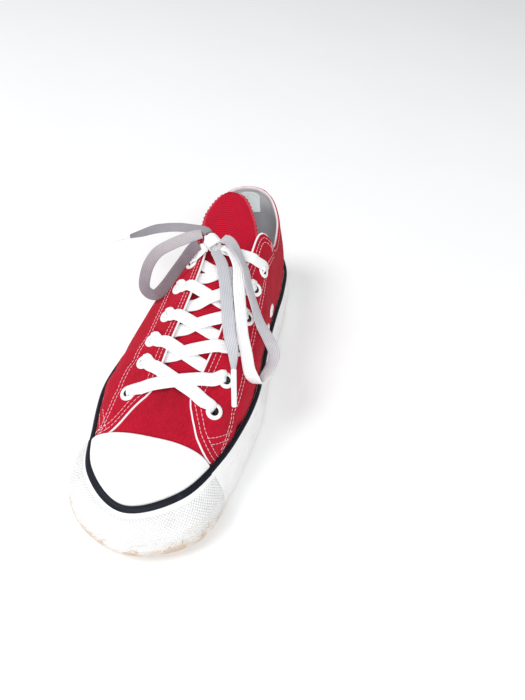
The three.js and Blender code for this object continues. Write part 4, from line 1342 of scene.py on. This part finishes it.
def rim_crossing(start, end, inner, near_start):
    """Share of the way from start to end at which the lace passes the rim."""
    low, high = (0.0, 0.5) if near_start else (1.0, 0.5)
    side = 1 if inner else -1
    for _ in range(20):
        middle = (low + high) / 2
        at = start * (1 - middle) + end * middle
        if side * (at[0] - rim_place(at[1], inner)[0]) > 0:
            low = middle
        else:
            high = middle
    return low


SLOPE_UP = unit(np.array([0.0, -0.3, 1.0]))
LAST_ROW = len(EYELET_PLACES) - 1


class Strand:
    """Stops of a lace that runs straight in plan from start to end."""

    def __init__(self, start, end):
        self.start, self.end, self.stops = start, end, []
        self.ahead = unit(end - start)

    def at(self, share):
        return self.start * (1 - share) + self.end * share

    def add(self, place, face, gather=1.0, swell=1.0):
        self.stops.append((*place, *face, gather, swell))

    def by_eyelet(self, row, inner, lift, ahead, face, gather, swell):
        self.add(eyelet_stop(row, inner, lift, ahead)[0], face, gather, swell)

    def over_cloth(self, share, lift):
        x, y, _ = self.at(share)
        self.add(*on_upper(*over_plan(x, y), lift))

    def under_rim(self, share, inner):
        x, y, _ = self.at(share)
        self.add((x, y, rim_place(y, inner)[2] + BELOW_RIM), SLOPE_UP)

    def over_tongue(self, share, lift):
        x, y, _ = self.at(share)
        self.add((x, y, tongue_top(x, y) + lift), SLOPE_UP)


def crossing_strand(row, to_inner):
    """From an eyelet on one side to the next one on the other. The strands to the inner side lie on top."""
    start, start_up = eyelet_stop(row, not to_inner, 1.9)
    end, end_up = eyelet_stop(row + 1, to_inner, 2.1)
    strand = Strand(start, end)
    leaves = rim_crossing(start, end, not to_inner, True)
    meets = rim_crossing(start, end, to_inner, False)
    over = 0.8 if to_inner else -0.55
    if row == 0:  # comes up through the first eyelet
        ahead = -0.6 if to_inner else 1.0
        strand.by_eyelet(row, not to_inner, -2.2, ahead, start_up * 0.3 - strand.ahead, 0.5, 1.3)
        strand.by_eyelet(row, not to_inner, 0.8, ahead + 0.5, start_up * 0.6 - strand.ahead, 0.58, 1.2)
        strand.by_eyelet(row, not to_inner, 2.2, ahead + 2.2, start_up, 0.78, 1.1)
        for share in (0.55, 1.0):
            strand.over_cloth(leaves * share, 1.25 + 0.4 * to_inner)
    else:  # comes out from under the facing
        strand.over_cloth(leaves * 0.72, BELOW_CLOTH)
        strand.under_rim(leaves, not to_inner)
        strand.over_tongue(leaves + (meets - leaves) * 0.22, ABOVE_TONGUE)
    half = (leaves + meets) / 2
    if row == LAST_ROW - 1:  # goes back under the other facing
        strand.over_tongue(half, ABOVE_TONGUE + over)
        strand.over_tongue(meets - (meets - leaves) * 0.22, ABOVE_TONGUE)
        strand.under_rim(meets, to_inner)
        strand.over_cloth(meets + (1 - meets) * 0.3, BELOW_CLOTH)
        return strand
    x, y, _ = strand.at(half)
    rims = rim_place(y, True)[2] / 2 + rim_place(y, False)[2] / 2
    z = rims + 1.0 if row == 0 else max(tongue_top(x, y) + 1.6, rims - 0.9)
    strand.add((x, y, z + over), SLOPE_UP)
    for share in (0.0, 0.5):
        strand.over_cloth(meets + (1 - meets) * share, 1.2 + 0.2 * to_inner)
    # lift, distance ahead, share of the eyelet's and the lace's own direction in its face, width, thickness
    if to_inner:
        last = [(2.2, 3.2, 1, 0, 0.84, 1.05), (1.1, 1.6, 0.5, 1, 0.6, 1.2), (-2.2, 1.0, 0.3, 1, 0.5, 1.3)]
    else:
        last = [(2.2, 2.4, 1, 0, 1.0, 1.05), (2.1, 0.8, 1, 0.3, 0.92, 1.1), (1.0, -0.5, 0.4, 1, 0.6, 1.4),
                (-2.2, -0.7, 0.2, 1, 0.5, 1.6)]
    for lift, ahead, up, along, gather, swell in last:
        strand.by_eyelet(row + 1, to_inner, lift, ahead, end_up * up + strand.ahead * along, gather, swell)
    return strand


def make_crossings():
    for row in range(LAST_ROW):
        for to_inner, side in ((True, "inner"), (False, "outer")):
            ribbon(f"lace_row_{row + 1}_to_{side}", crossing_strand(row, to_inner).stops, COTTON, 90,
                   replaces=[f"lace_crossing_{row + 1}"])


def make_top_laces():
    """From the last eyelets to the knot."""
    for inner, side, beside_knot in ((True, "inner", (2.5, -0.5, -3.4)), (False, "outer", (-2.5, -2.5, -3.4))):
        start, up = eyelet_stop(LAST_ROW, inner, 1.9)
        knot = KNOT + beside_knot
        strand = Strand(start, knot)
        strand.by_eyelet(LAST_ROW, inner, -2.2, 0.0, up * 0.3 - strand.ahead, 0.52, 1.5)
        strand.by_eyelet(LAST_ROW, inner, 1.8, 0.2, up * 0.8 - strand.ahead, 0.9, 1.1)
        strand.by_eyelet(LAST_ROW, inner, 2.3, 2.4, up, 1.0, 1.0)
        leaves = rim_crossing(start, knot, inner, True)
        for share in (0.6, 1.0):
            strand.over_cloth(leaves * share, 1.5)
        x, y, _ = strand.at(0.75)
        strand.add((x, y, knot[2] + 0.2), (0, -0.3, 1), 0.95)
        strand.add(knot, (0, -0.3, 1), 0.7, 1.3)
        ribbon(f"lace_top_{side}", strand.stops, COTTON, 80, replaces=["lace_top_bar"])


def make_knot():
    """Two turns of lace pulled tight round the crossing of the bow."""
    # Middle, axis, half width and height of the turn, the lace's width and thickness, and where it starts
    turns = [
        ("knot_wrap", KNOT + (0.6, 0, 0.2), (0.80, -0.52, -0.25), 4.6, 4.2, 7.6, 1.7, 0.0),
        ("knot_under", KNOT + (-1.6, 1.2, -0.3), (0.72, 0.62, 0.0), 3.7, 3.4, 6.0, 1.6, 0.8),
    ]
    for name, middle, axis, wide, high, width, thickness, phase in turns:
        axis = unit(np.array(axis))
        side = unit(np.cross(axis, (0, 0, 1)))
        top = np.cross(side, axis)
        angle = np.linspace(0, 2 * np.pi, 73)[:-1] + phase
        out = side * np.cos(angle)[:, None] + top * np.sin(angle)[:, None]
        path = middle + side * (wide * np.cos(angle))[:, None] + top * (high * np.sin(angle))[:, None]
        pinch = 1 - 0.16 * np.cos(2 * angle)
        across, up = flat_section(width, thickness)
        sections = swept(path, np.tile(axis, (len(path), 1)), out, across * pinch[:, None], up)
        uv = lengths_uv(lengths(path, 0), across[None])
        loop_solid(name, sections, COTTON, closed=True, uv=uv, replaces=["lace_knot"])


# ---------------------------------------------------------------- stage
def make_stage():
    bpy.ops.object.select_all(action="DESELECT")
    bpy.ops.mesh.primitive_plane_add(size=6)
    floor = bpy.context.object
    floor.name = "floor"
    floor.data.materials.append(make_floor())


LIGHTS_AIM = Vector((0, 0, 0.03))


def add_light(name, place, size, power):
    data = bpy.data.lights.new(name, "AREA")
    data.shape, data.size, data.energy = "DISK", size, power
    light = bpy.data.objects.new(name, data)
    light.location = place
    light.rotation_euler = (Vector(place) - LIGHTS_AIM).to_track_quat("Z", "Y").to_euler()
    bpy.context.collection.objects.link(light)


def set_light():
    world = bpy.data.worlds.new("soft room")
    bpy.context.scene.world = world
    world.use_nodes = True
    background = world.node_tree.nodes["Background"].inputs
    background["Color"].default_value = (0.95, 0.97, 1.0, 1)
    background["Strength"].default_value = 0.45
    add_light("window", (-1.5, -0.7, 2.4), 1.4, 40)
    add_light("front", (0.7, -2.1, 2.0), 1.4, 55)
    bpy.context.scene.view_settings.view_transform = "Standard"


def build():
    make_vamp()
    make_quarters()
    line_upper()
    make_heel_stay()
    make_collar_binding()
    make_facing_edges()
    make_stitching()
    make_tacks()
    make_tongue()
    make_tongue_edge()
    lay_insole()
    make_heel_patch()
    make_foxing()
    make_stripe_band()
    make_bumper()
    make_cap()
    make_outsole()
    punch_holes(["quarter_inner", "quarter_outer", "vamp_canvas", "canvas_lining"])
    make_eyelets()
    make_crossings()
    make_top_laces()
    make_knot()
    make_stage()
    set_light()


build()
